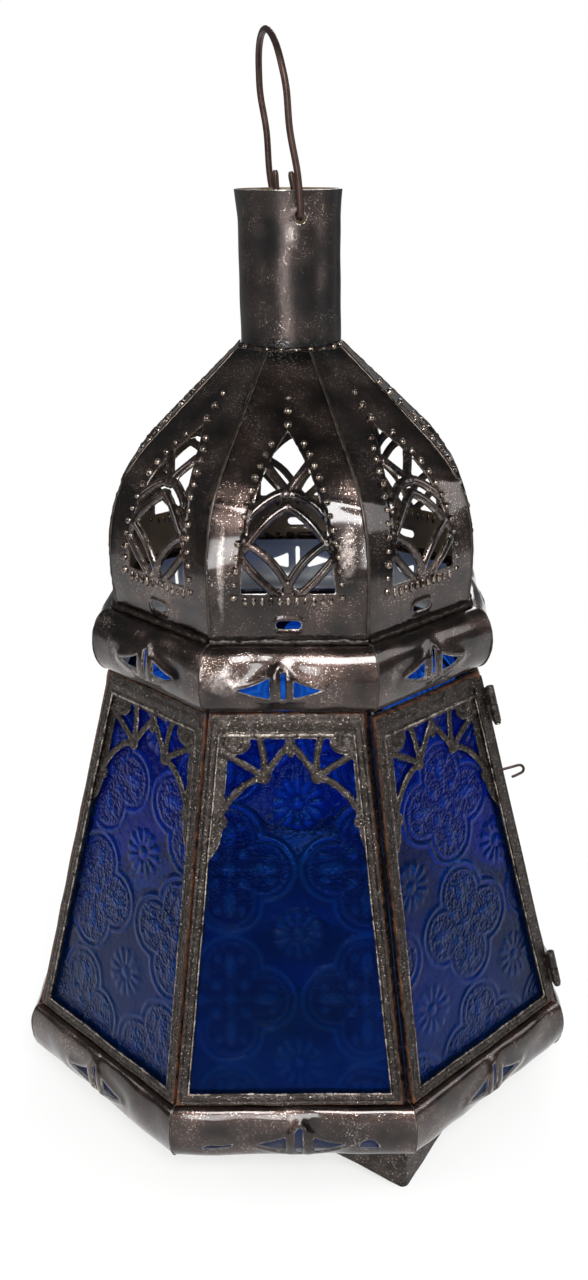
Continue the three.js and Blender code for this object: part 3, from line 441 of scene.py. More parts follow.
# %% [markdown]
# ## Cutting sheet metal
# Most pieces are one sheet with shaped holes. A function keep(u, v) says how far each point of the
# sheet lies from the nearest cut, above zero in the metal. A grid is laid over the sheet, cells on the
# cut are trimmed along it, and the cut edge gets its wall, so every opening has a crisp true outline.
# Boolean cutters could do this too, but they leave long thin faces that shade badly once bent.
# %% Trim a grid along a cut
NEAR_CUT = 0.06


def grid_lines(low, high, step):
    """The places of grid lines from one step below low to just past high."""
    return np.arange(low - step, high + 2 * step, step)


def trimmed(us, vs, keep):
    """The kept part of a grid: its points, how far each is from a cut, its faces and its cut edges."""
    grid_u, grid_v = np.meshgrid(us, vs, indexing="ij")
    field = keep(grid_u, grid_v)
    field = np.where(np.abs(field) < NEAR_CUT, NEAR_CUT, field)
    inside = field > 0
    points, depth, faces, rim, known = [], [], [], [], {}

    def corner(at):
        if at not in known:
            known[at] = len(points)
            points.append((us[at[0]], vs[at[1]]))
            depth.append(field[at])
        return known[at]

    def crossing(a, b):
        key = (min(a, b), max(a, b))
        if key not in known:
            share = field[a] / (field[a] - field[b])
            known[key] = len(points)
            points.append((us[a[0]] + share * (us[b[0]] - us[a[0]]),
                           vs[a[1]] + share * (vs[b[1]] - vs[a[1]])))
            depth.append(0.0)
        return known[key]

    touched = inside[:-1, :-1] | inside[1:, :-1] | inside[:-1, 1:] | inside[1:, 1:]
    for i, j in zip(*np.nonzero(touched)):
        ring = [(i, j), (i + 1, j), (i + 1, j + 1), (i, j + 1)]
        face, leaving = [], []
        for here, after in zip(ring, ring[1:] + ring[:1]):
            if inside[here]:
                face.append(corner(here))
            if inside[here] != inside[after]:
                if inside[here]:
                    leaving.append(len(face))
                face.append(crossing(here, after))
        faces.append(face)
        for k in leaving:
            rim.append((face[k], face[(k + 1) % len(face)]))
    return np.array(points), np.array(depth), faces, rim


print("trimming ready")


# %% [markdown]
# ## Bending it
# The trimmed sheet is laid on a surface, surface(u, v), and pressed along the surface's own normal by
# relief(u, v), as a punch or a swage would press it. Its back follows one thickness below. A Solidify
# modifier would give the thickness as well, but not the marks that tell front, back and edge apart.
# %% Lay a trimmed sheet on a surface
EDGE_REACH = 0.9


def laid(surface, u, v, height):
    """Points of a surface moved along its outward normal."""
    step = 0.05
    across = surface(u + step, v) - surface(u - step, v)
    along = surface(u, v + step) - surface(u, v - step)
    outward = np.cross(across, along)
    outward /= np.linalg.norm(outward, axis=1)[:, None]
    return surface(u, v) + outward * np.broadcast_to(height, u.shape)[:, None]


def mesh_of(name, points, faces, smooth_to=38, **marks):
    """A mesh in metres from points in millimetres, with float attributes for the finishes."""
    data = bpy.data.meshes.new(name)
    data.from_pydata((np.asarray(points) * MM).tolist(), [], faces)
    data.validate()
    data.shade_smooth()
    data.set_sharp_from_angle(angle=math.radians(smooth_to))
    for mark, values in marks.items():
        data.attributes.new(mark, "FLOAT", "POINT").data.foreach_set("value", np.asarray(values, np.float32))
    data.update()
    return data


def sheet_mesh(name, us, vs, keep, surface, relief, thickness=SHEET, flat_back=False, tinned=0.0, **marks):
    """A sheet with walled edges, its front on the surface and its back below; a mark is a function."""
    points, depth, faces, rim = trimmed(us, vs, keep)
    u, v = points[:, 0], points[:, 1]
    height = relief(u, v)
    front = laid(surface, u, v, height)
    back = laid(surface, u, v, (0 if flat_back else height) - thickness)
    count = len(points)
    closed = faces + [[p + count for p in reversed(face)] for face in faces]
    closed += [(b, a, a + count, b + count) for a, b in rim]
    edge = np.clip(1 - depth / EDGE_REACH, 0, 1)
    within = np.concatenate([np.zeros(count), np.ones(count)])
    values = {mark: np.concatenate([marked(u, v), marked(u, v) * 0.4]) for mark, marked in marks.items()}
    return mesh_of(name, np.vstack([front, back]), closed, edge=np.concatenate([edge, edge * 0.3]),
                   inside=within, tinned=within * tinned, **values)


print("bending ready")

# %% [markdown]
# Three helpers draw the cuts: the distance to a line, the signed distance to a closed outline and a
# smooth curve that a few control points pull into shape.
# %% Distances and curves
def line_distance(u, v, path):
    """Distance from each point to a line of straight runs."""
    nearest = np.full(np.shape(u), 1e9)
    for (ax, ay), (bx, by) in zip(path[:-1], path[1:]):
        run_u, run_v = bx - ax, by - ay
        share = np.clip(((u - ax) * run_u + (v - ay) * run_v) / (run_u ** 2 + run_v ** 2), 0, 1)
        nearest = np.minimum(nearest, np.hypot(u - ax - share * run_u, v - ay - share * run_v))
    return nearest


def inside_distance(u, v, outline):
    """Distance to a closed outline, above zero inside it."""
    within = np.zeros(np.shape(u), bool)
    closed = list(outline) + [outline[0]]
    for (ax, ay), (bx, by) in zip(closed[:-1], closed[1:]):
        if ay != by:
            within ^= ((ay > v) != (by > v)) & (u < (bx - ax) * (v - ay) / (by - ay) + ax)
    return np.where(within, 1, -1) * line_distance(u, v, closed)


def curve(*controls, steps=10):
    """A smooth curve from its first control point to its last; the ones between only pull at it."""
    points = []
    for share in np.linspace(0, 1, steps + 1):
        left = [np.array(c, float) for c in controls]
        while len(left) > 1:
            left = [a + (b - a) * share for a, b in zip(left[:-1], left[1:])]
        points.append(tuple(left[0]))
    return points


def bowed(distance, half):
    """The round section of a strap or a bar: 1 on its middle line and 0 at its edges."""
    return np.sqrt(1 - np.clip(distance / half, 0, 1) ** 2)


print("curve of three control points", len(curve((0, 0), (1, 0), (1, 1))), "points")


# %% [markdown]
# A few waves with seeded headings stand for dents: the same seed gives the same dents each time the
# file runs. The mesh of a face is made in face 1's place, towards the camera, and then turned to its
# own. One function puts every mesh into the scene, so each piece says which body carries it.
# %% Dents and pieces
def dents(u, v, seed, size, depth):
    """A soft, uneven surface: eight seeded waves about size long."""
    chance = np.random.default_rng(seed)
    total = np.zeros(np.shape(u))
    for _ in range(8):
        heading, phase = chance.uniform(0, math.tau, 2)
        wave = math.tau / (size * chance.uniform(0.7, 1.8))
        total = total + np.sin((u * math.cos(heading) + v * math.sin(heading)) * wave + phase)
    return depth * total / 3


def turned(data, face):
    """A copy of face 1's mesh for another face."""
    copy = data.copy()
    copy.transform(Matrix.Rotation((face - 1) * TURN, 4, "Z"))
    return copy


def add_piece(name, data, body, material, slot, *stands_for):
    """Puts a mesh into the scene as one piece of a body, in place of its CAD nodes."""
    piece = bpy.data.objects.new(name, data)
    scene.collection.objects.link(piece)
    data.materials.clear()
    data.materials.append(material)
    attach(piece, body)
    if stands_for:
        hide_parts(*stands_for)
    return piece


print("dents of depth 1 reach", round(float(dents(*np.mgrid[0:50, 0:50], 1, 20, 1.0).max()), 2), "mm")

# %% [markdown]
# ## The dome
# Each of the eight gores is a sheet pressed over a curve. The smith chisels a pointed arch full of
# straps, bows the straps outwards so that they catch the light, and leaves an oval below. The gore's
# curve is the CAD model's own: a straight flank, a swell to the waist and a tuck at the foot.
# %% Profile of the dome
NECK_APOTHEM = 20.0
DOME_HEIGHT = Z_NECK - Z_DOME - SEAT
dome_flank = (53.0, 64.8)
dome_waist = (70.4, 21.0)
dome_foot = (69.2, 0.0)
slope = (dome_flank[1] - DOME_HEIGHT) / (dome_flank[0] - NECK_APOTHEM)
swell_corner = (dome_waist[0], dome_flank[1] + slope * (dome_waist[0] - dome_flank[0]))
swell = 0.7
handles = [tuple(np.array(end) * (1 - swell) + np.array(swell_corner) * swell)
           for end in (dome_flank, dome_waist)]
dome_line = [(NECK_APOTHEM, DOME_HEIGHT)]
dome_line += curve(dome_flank, *handles, dome_waist, steps=28)
dome_line += curve(dome_waist, (dome_waist[0], dome_waist[1] / 2), dome_foot, steps=12)[1:]
dome_line = np.array(dome_line[::-1])


def dome_apothem(height):
    """Distance of the gore's outside from the axis at a height over the dome's foot, straight beyond it."""
    apothems, heights = dome_line.T
    low_slope = (apothems[1] - apothems[0]) / (heights[1] - heights[0])
    high_slope = (apothems[-1] - apothems[-2]) / (heights[-1] - heights[-2])
    apothem = np.interp(height, heights, apothems)
    apothem = np.where(height < heights[0], apothems[0] + low_slope * (height - heights[0]), apothem)
    return np.where(height > heights[-1], apothems[-1] + high_slope * (height - heights[-1]), apothem)


def gore_surface(u, v):
    """Face 1's gore: across it and by height over the dome's foot."""
    return np.stack([u, -dome_apothem(v), v + Z_DOME + SEAT], axis=-1)


print("dome", round(DOME_HEIGHT, 1), "mm high")

# %% [markdown]
# The arch is drawn by shares of its width and height, so the lattice would follow if the arch grew.
# %% Arch and straps of a gore
ARCH_SILL = 19.2
ARCH_SILL_HALF = 17.0
ARCH_SPRING = 46.0
ARCH_SPRING_HALF = 13.0
ARCH_APEX = 72.9
ARCH_RISE = ARCH_APEX - ARCH_SILL
STRAP_HALF = 1.6
STRAP_BOW = 1.35


def on_arch(side, across, up):
    """A point by its share of the sill's half width and of the arch's rise."""
    return (side * across * ARCH_SILL_HALF, ARCH_SILL + up * ARCH_RISE)


def arch_side(side):
    """One side of the arch from the sill up to the point."""
    middle = (ARCH_SILL + ARCH_SPRING) / 2
    shoulder = ARCH_SPRING + (ARCH_APEX - ARCH_SPRING) * 0.57
    low = curve((side * ARCH_SILL_HALF, ARCH_SILL), (side * ARCH_SILL_HALF * 0.97, middle),
                (side * ARCH_SPRING_HALF, ARCH_SPRING))
    high = curve((side * ARCH_SPRING_HALF, ARCH_SPRING), (side * ARCH_SPRING_HALF * 0.75, shoulder),
                 (0, ARCH_APEX))
    return low + high[1:]


arch_outline = arch_side(1) + arch_side(-1)[::-1][1:]
gore_straps = []
for side in (-1, 1):
    gore_straps += [
        curve(on_arch(side, 0.70, 0.90), on_arch(side, 0.30, 0.76), on_arch(side, -0.06, 0.64)),
        curve(on_arch(side, -0.06, 0.66), on_arch(side, 0.41, 0.65), on_arch(side, 0.88, 0.48)),
        curve(on_arch(side, -0.05, 0.575), on_arch(side, 0.42, 0.53), on_arch(side, 0.96, 0.28)),
        curve(on_arch(side, 0.98, 0.36), on_arch(side, 0.30, 0.27), on_arch(side, -0.03, 0.03)),
        curve(on_arch(side, 1.06, 0.28), on_arch(side, 0.68, 0.10), on_arch(side, 0.16, -0.03)),
    ]
arch_tab = [(-5.0, ARCH_SILL - 1), (5.0, ARCH_SILL - 1), (0.0, ARCH_SILL + 5.4)]
print("straps in an arch", len(gore_straps))

# %% [markdown]
# The cut of a gore is one distance: the least of those to the edge of the sheet, to the arch and to the
# oval. Straps and the small tab on the sill are metal inside the arch, so the greatest is taken there.
# %% Cut of a gore
OVAL_HALF = 3.0
OVAL_RADIUS = 1.7
OVAL_HEIGHT = 7.1
GORE_GRID = 0.7


def oval_distance(u, v):
    """Distance to the edge of the oval below the arch, above zero outside it."""
    return line_distance(u, v, [(-OVAL_HALF, OVAL_HEIGHT), (OVAL_HALF, OVAL_HEIGHT)]) - OVAL_RADIUS


def gore_keep(u, v):
    """Distance into the metal of a gore."""
    side = (dome_apothem(v) * TAN_HALF - SEAT / 2 - np.abs(u)) * math.cos(TURN / 2)
    sheet = np.minimum(side, np.minimum(v, DOME_HEIGHT - v))
    hole = inside_distance(u, v, arch_outline)
    metal = np.maximum(-hole, inside_distance(u, v, arch_tab))
    for path in gore_straps:
        metal = np.maximum(metal, STRAP_HALF - line_distance(u, v, path))
    return np.minimum(sheet, np.minimum(metal, oval_distance(u, v)))


print("the oval's middle is", -float(oval_distance(0.0, OVAL_HEIGHT)), "mm inside its edge")


# %% [markdown]
# The straps were bowed with a punch, the sheet turned out a little round each opening, and a crease
# runs in from each seam. Sculpting would be livelier still, but formulas hold on a finer grid too, and
# each gore gets dents of its own from its seed.
# %% Relief of a gore
def gore_relief(seed):
    """How far the sheet is pressed out: bowed straps, a turned rim on each opening, a crease, dents."""
    def relief(u, v):
        hole = inside_distance(u, v, arch_outline)
        bow = np.zeros(np.shape(u))
        for path in gore_straps:
            bow = np.maximum(bow, STRAP_BOW * bowed(line_distance(u, v, path), STRAP_HALF))
        bow = bow * np.clip(hole / 1.2 + 0.8, 0, 1)
        turned_rim = 0.35 * np.exp(-((-hole - 0.5) / 0.8) ** 2)
        lip = 0.45 * np.exp(-((oval_distance(u, v) - 0.6) / 0.7) ** 2)
        crease = 0.35 * np.exp(-((v - 50 - 1.5 * np.sin(u / 7)) / 1.5) ** 2)
        crease = crease * np.clip(np.abs(u) / 9 - 1.3, 0, 1)
        return bow + turned_rim + lip + crease + dents(u, v, seed, 26, 0.22)
    return relief


print("a strap stands out by", float(STRAP_BOW * bowed(0, STRAP_HALF)), "mm")


# %% [markdown]
# The last two functions mark the finish. The iron has burnt the lacquer black beside the solder, and
# a painted highlight lies up one seam, beside the arch's spring and on the straps, strongest on face 1.
# %% Finish marks of a gore, and the eight gores
def gore_burnt(u, v):
    """Black beside the solder: up the seams, round the tube's foot and along the dome's foot."""
    seam = dome_apothem(v) * TAN_HALF - np.abs(u)
    waved = 1 + 0.5 * np.sin(v / 3.1) + 0.3 * np.sin(v / 1.3 + 1)
    ends = np.maximum((v - DOME_HEIGHT + 5) / 3, 1.4 - v / 3)
    return np.clip(np.maximum(1.3 - seam / (1.6 * waved), ends), 0, 1)


def gore_thin(face):
    """A painted highlight: a strip up one seam, a patch beside the arch's spring and the straps."""
    strength = 0.95 if face == 1 else 0.5

    def thin(u, v):
        seam = dome_apothem(v) * TAN_HALF + u
        strip = np.exp(-((seam - 5.0) / 1.8) ** 2) * np.exp(-((v - 26) / 22) ** 2)
        patch = np.exp(-((u - 21.5) / 4) ** 2 - ((v - 33) / 12) ** 2)
        lattice = 0.42 * np.clip(inside_distance(u, v, arch_outline) + 1, 0, 1)
        return np.maximum(strength * np.clip(strip + patch, 0, 1), lattice)
    return thin


for face in range(1, SIDES + 1):
    name = f"gore_{face}_sheet"
    data = sheet_mesh(name, np.arange(-32.2, 32.3, GORE_GRID), grid_lines(0, DOME_HEIGHT, GORE_GRID),
                      gore_keep, gore_surface, gore_relief(face), burnt=gore_burnt, thin=gore_thin(face))
    add_piece(name, turned(data, face), "root", lacquered_tin, "lacquered_tin", f"dome_gore_{face}")
print("gore faces", len(data.polygons))

# %% [markdown]
# ## The half-round bands
# A band is a strip bent over a bar into a half round with a lip on each side, mitred where two lengths
# meet. Its eye is chiselled from the front: a curved almond with two bars left standing, pressed out
# a little. The smith cut each by eye, so the place of the eye changes from face to face. The sheet is
# laid on the half round as a function, so the eye can be drawn flat and still bend with the strip.
# %% Section of a band
BAND_GRID = 0.8
PRESSED_MOST = 0.95
TOP_RUST = 0.55


def band_section(low_apothem, high_apothem, height, bulge, lip):
    """The section from the low lip round to the high one: length along it, apothem and height."""
    points = [(low_apothem - lip, 0.0)]
    for angle in np.linspace(-math.pi / 2, math.pi / 2, 41):
        middle = low_apothem + (high_apothem - low_apothem) * (0.5 + math.sin(angle) / 2)
        points.append((middle + bulge * math.cos(angle), height / 2 * (1 + math.sin(angle))))
    points.append((high_apothem - lip, height))
    points = np.array(points)
    lengths = np.concatenate([[0], np.cumsum(np.hypot(*np.diff(points, axis=0).T))])
    return lengths, points[:, 0], points[:, 1]


def eye_outline(left, right, rise, drop=0.0, tip_drop=1.8):
    """The almond, drop below the band's middle: hollow curves up to its peak, full ones below."""
    top = (left + right) / 2
    half = (right - left) / 2
    outline = curve((left, -tip_drop), (top - half * 0.35, 0), (top, rise))
    outline += curve((top, rise), (top + half * 0.35, 0), (right, -tip_drop))[1:]
    outline += curve((right, -tip_drop), (top + half * 0.4, -rise), (top, -rise))[1:]
    outline += curve((top, -rise), (top - half * 0.4, -rise), (left, -tip_drop))[1:-1]
    return [(x, y - drop) for x, y in outline]


print("points of an eye", len(eye_outline(-17, 17, 6)))


# %% [markdown]
# One length of band is laid on the half round. Its holes lie only in the part of the strip that faces
# outwards. Rust sits at the mitres and on the upper lip, where water stays.
# %% One length of band
def band_mesh(name, section, low, height, eye, bars, extra_holes, seed, thin_share):
    """One length of band: eye is (left, right, rise, drop), bars are (left, right) of each bar."""
    lengths, apothems, heights = section

    def reach(s):
        return np.interp(s, lengths, apothems)

    def surface(u, s):
        over = np.maximum(s - lengths[-1], 0)
        under = np.minimum(s, 0)
        return np.stack([u, -(reach(s) - over + under), low + np.interp(s, lengths, heights)], axis=-1)

    outline = eye_outline(*eye)

    def hole_at(u, s):
        rise = np.interp(s, lengths, heights) - height / 2
        facing = np.where(reach(s) > apothems.max() - height, 1, -1)
        hole = inside_distance(u, rise, outline)
        for left, right in bars:
            hole = np.minimum(hole, np.abs(u - (left + right) / 2) - (right - left) / 2)
        for extra in extra_holes:
            hole = np.maximum(hole, inside_distance(u, rise, extra))
        return np.where(facing > 0, hole, -9.0), rise

    def keep(u, s):
        side = (reach(s) * TAN_HALF - SEAT / 2 - np.abs(u)) * math.cos(TURN / 2)
        return np.minimum(np.minimum(side, -hole_at(u, s)[0]), np.minimum(s, lengths[-1] - s))

    def relief(u, s):
        hole, rise = hole_at(u, s)
        almond = inside_distance(u, rise, outline)
        pressed = dents(u, s, seed, 22, 0.3)
        for left, right in bars:
            bar_bow = bowed(np.abs(u - (left + right) / 2), (right - left) / 2)
            pressed = pressed + 0.9 * bar_bow * np.clip(almond / 1.5 + 0.9, 0, 1)
        pressed = pressed + 0.35 * np.exp(-((almond + 1.0) / 1.0) ** 2)
        pressed = pressed - 0.2 * np.exp(-((almond + 4.5) / 2.2) ** 2)
        fade = np.clip(s / 9, 0, 1) * np.clip((lengths[-1] - s) / 9, 0, 1)
        return np.minimum(pressed * fade, PRESSED_MOST)

    def rust(u, s):
        end = reach(s) * TAN_HALF - np.abs(u)
        top = np.clip(1 - (lengths[-1] - 8.0 - s) / 2.0, 0, 1) * TOP_RUST
        return np.clip(np.maximum(top, 0.85 * (1 - end / 1.6)), 0, 1)

    # A painted highlight on the band's front, left of the eye
    def thin(u, s):
        return thin_share * np.exp(-((u - eye[0] + 4) / 9) ** 2 - ((s - lengths[-1] * 0.52) / 6) ** 2)

    half = apothems.max() * TAN_HALF
    return sheet_mesh(name, grid_lines(-half, half, BAND_GRID), grid_lines(0, lengths[-1], BAND_GRID), keep,
                      surface, relief, tinned=1.0, rust=rust, thin=thin)


print("bands are pressed out at most", PRESSED_MOST, "mm")

# %% [markdown]
# The front length of each band is drawn after the lantern: its eye sits off centre, and the base one
# has a half-moon hole and a torn slit beside it. The other lengths get small seeded offsets.
# %% Base and shoulder bands
base_section = band_section(BODY_BASE_APOTHEM, BODY_BASE_APOTHEM, Z_BODY - Z_BASE, 4.2, 8.0)
shoulder_section = band_section(BODY_TOP_APOTHEM, 72.5, Z_DOME - Z_SHOULDER, 6.0, 7.0)
half_moon = curve((25.0, -5.8), (25.4, 0.9), (33.0, 0.9), (33.4, -5.8))
torn_slit = [(-35.0, -4.4), (-31.5, -3.3), (-28.0, -3.8), (-23.5, -2.9), (-23.9, -4.6), (-29.0, -5.6),
             (-34.5, -5.9)]
chance = np.random.default_rng(11)
for face in range(1, SIDES + 1):
    shift, twist = chance.uniform(-2.2, 2.2, 2)
    base_eye = (-17.0 + shift, 17.0 + shift, 6.4)
    base_bars = [(shift - 4.6, shift - 1.0), (shift + 1.2, shift + 4.8)]
    shoulder_eye = (-16.2 + twist, 16.2 + twist, 6.0)
    shoulder_bars = [(twist - 4.6, twist - 1.0), (twist + 1.0, twist + 4.4)]
    extra = []
    if face == 1:
        base_eye, base_bars = (-14.8, 20.1, 6.6, 1.6), [(-3.2, 0.6), (3.7, 7.9)]
        shoulder_eye, shoulder_bars = (-19.7, 12.5, 6.0), [(-7.0, -3.0), (-1.2, 1.7)]
        extra = [half_moon, torn_slit]
    # The last value of each band sets the strength of its painted highlight
    bands = [
        ("base", base_section, Z_BASE, Z_BODY, base_eye, base_bars, extra, 20 + face, 0.5),
        ("shoulder", shoulder_section, Z_SHOULDER, Z_DOME, shoulder_eye, shoulder_bars, [], 40 + face,
         1.0 if face == 1 else 0.6),
    ]
    for which, section, low, high, eye, bars, holes, seed, thin_share in bands:
        name = f"{which}_band_{face}_sheet"
        data = band_mesh(name, section, low, high - low, eye, bars, holes, seed, thin_share)
        add_piece(name, turned(data, face), "root", lacquered_tin, "lacquered_tin", f"{which}_band_{face}")
print("band faces", len(data.polygons))

# %% [markdown]
# ## The sloping faces
# Eight frames lean inwards and carry the panes. A frame is folded from strip into a channel: a flat
# front with a rolled bead beside the glass, a slot for the pane and a back flange. A face is worked
# flat, across and up its slope, and then leant into place, so every size can be read off a drawing.
# %% The plane of a face
BODY_HEIGHT = Z_SHOULDER - Z_BODY
LEAN = math.atan((BODY_BASE_APOTHEM - BODY_TOP_APOTHEM) / BODY_HEIGHT)
SLOPE_LENGTH = BODY_HEIGHT / math.cos(LEAN)
STILE, TOP_RAIL, BOTTOM_RAIL = 5.5, 9.4, 5.3
STILE_SLANT = math.cos(0.1)
DOOR_FACE, LOOSE_FACE = 3, 2
LOOSE_GAP = 2.6
SLOT_DEPTH = 1.8
TRACERY_OUT, GLASS_OUT = -0.9, -2.1
GLASS_THICKNESS = 1.7


def half_width(up):
    """Half the width of a face at a place up its slope."""
    return (BODY_BASE_APOTHEM - up * math.sin(LEAN)) * TAN_HALF


def top_gap(face):
    """Room over a face's top rail: the door and the face before it hang loose."""
    return LOOSE_GAP if face in (DOOR_FACE, LOOSE_FACE) else SEAT


def leant(u, up, out):
    """A point of face 1 by its place across, up the slope and out of it."""
    return np.stack([u, -BODY_BASE_APOTHEM + up * math.sin(LEAN) - out * math.cos(LEAN),
                     Z_BODY + up * math.cos(LEAN) + out * math.sin(LEAN)], axis=-1)


def face_surface(out):
    """The plane of the face at a depth, for laid sheets."""
    def surface(u, v):
        return leant(u, v, np.full(np.shape(u), out))
    return surface


def names_of(face):
    """The CAD nodes of a face and the body they ride on."""
    if face == DOOR_FACE:
        return "door_frame", "door_glass", "door_tracery", "door"
    return f"pane_frame_{face}", f"glass_pane_{face}", f"tracery_{face}", "root"


print("lean", round(math.degrees(LEAN), 2), "degrees")

# %% [markdown]
# The frame's section is carried round the four sides. Each point of the section has a share of the
# side's width, 0 at the outside and 1 at the glass, so that the corners mitre although the rails and
# stiles differ in width. Each side is cut into short lengths that wander a little, as hand-folded
# strip does. Face 1's right stile is narrower and stands in, which leaves the rusty groove beside it.
# %% Section of a frame
FRAME_SECTION = [
    (0.00, -0.70), (0.03, -0.15), (0.10, 0.00), (0.24, -0.02), (0.30, -0.25), (0.36, -0.02), (0.50, 0.02),
    (0.74, -0.04), (0.80, -0.22), (0.84, -0.02), (0.89, 0.22), (0.95, 0.22), (0.99, 0.00), (1.00, -0.35),
    (0.99, -0.60), (0.67, -0.60), (0.67, -4.10), (1.00, -4.10), (1.00, -4.70), (0.00, -4.70),
]
FRAME_RUNS = 30
OUTER_INSET = 0.65
GROOVE_INSET = 3.4
BACK_REACH = 0.3
print("frame section", len(FRAME_SECTION), "points")


# %% [markdown]
# The ring of each point is laid round the trapezoid of the face. The bead beside the glass is rubbed
# bright and marked as an edge, and rust is marked along the outside and in the mitred corners.
# %% Frame mesh
def frame_mesh(name, face, seed):
    """A frame as a closed ring: its section carried round the trapezoid of the face."""
    low = SEAT / math.cos(LEAN) + 0.4
    high = SLOPE_LENGTH - (top_gap(face) + 0.1) / math.cos(LEAN) - 0.3
    left_width = STILE - OUTER_INSET
    right_width = STILE - 0.9 if face == 1 else left_width
    share = np.concatenate([np.linspace(0, 1, FRAME_RUNS, endpoint=False)] * 4)
    middle = np.sin(share * math.pi)
    side = np.repeat([0, 1, 2, 3], FRAME_RUNS)
    points, rust, edge = [], [], []
    for k, (width, out) in enumerate(FRAME_SECTION):
        mitre = max(0.0, -out) * math.cos(LEAN) * TAN_HALF * (1 - width)
        right_inset = GROOVE_INSET if face == 1 else OUTER_INSET
        if face == 1 and out < -4 and width == 0:
            # The back flange closes the groove, or the light would show through it
            right_inset = -BACK_REACH
        corners = []
        for up in (low + width * (BOTTOM_RAIL - 0.4), high - width * (TOP_RAIL - 0.4)):
            corners.append((-half_width(up) + mitre + OUTER_INSET + width * left_width, up))
            corners.append((half_width(up) - mitre - right_inset - width * right_width, up))
        bottom_left, bottom_right, top_left, top_right = corners
        ring = np.array([bottom_left, bottom_right, top_right, top_left, bottom_left])
        at = ring[side] + (ring[side + 1] - ring[side]) * share[:, None]
        wander = dents(at[:, 0], at[:, 1], seed, 30, 0.16)
        front = 1.0 if out > -0.5 else 0.2
        u = at[:, 0] + wander * middle * np.where(side % 2 == 1, 1, 0)
        v = at[:, 1] + wander * middle * np.where(side % 2 == 0, 1, 0)
        height = out + front * dents(at[:, 0], at[:, 1], seed + 100, 16, 0.1)
        if out > -0.5:
            height = height + np.where(side == 2, 0.5 * math.sin(math.pi * min(width / 0.75, 1)), 0)
        points.append(leant(u, v, height))
        outer = max(0.0, 1 - width / 0.22) if out > -1 else 0.35
        corner_rust = np.clip(1 - np.minimum(share, 1 - share) * 14, 0, 1) * 0.7
        rust.append(np.clip(outer * 0.95 + corner_rust * np.where(side == 0, 1, 0.4), 0, 1))
        on_bead = 0.84 < width < 1 and out > -0.3
        edge.append(np.full(len(u), 1.0 if on_bead else (0.6 if k in (2, 3, 5) else 0.0)))
    count, around = len(FRAME_SECTION), 4 * FRAME_RUNS
    faces = []
    for k in range(count):
        for j in range(around):
            after, up = (j + 1) % around, (k + 1) % count
            faces.append((k * around + j, k * around + after, up * around + after, up * around + j))
    return mesh_of(name, np.vstack(points), faces, 50, edge=np.concatenate(edge), rust=np.concatenate(rust))


for face in range(1, SIDES + 1):
    frame_node, _, _, body = names_of(face)
    name = f"{frame_node}_folded"
    data = frame_mesh(name, face, 60 + face)
    add_piece(name, turned(data, face), body, dull_tin, "dull_tin", frame_node)
print("frame faces", len(data.polygons))

# %% [markdown]
# ## The pierced corners
# A thin sheet hangs behind each top rail in front of the glass. Its straps run from two bosses to the
# rail and the stiles, the corners end in scrolls, and the margins are nibbled into scallops. All of it
# is bowed a little, so it catches light along its edges.
# %% Pierced corners
TRACERY_DEPTH = 51.0
TRACERY_STRAP_HALF = 1.25
TRACERY_GRID = 0.55


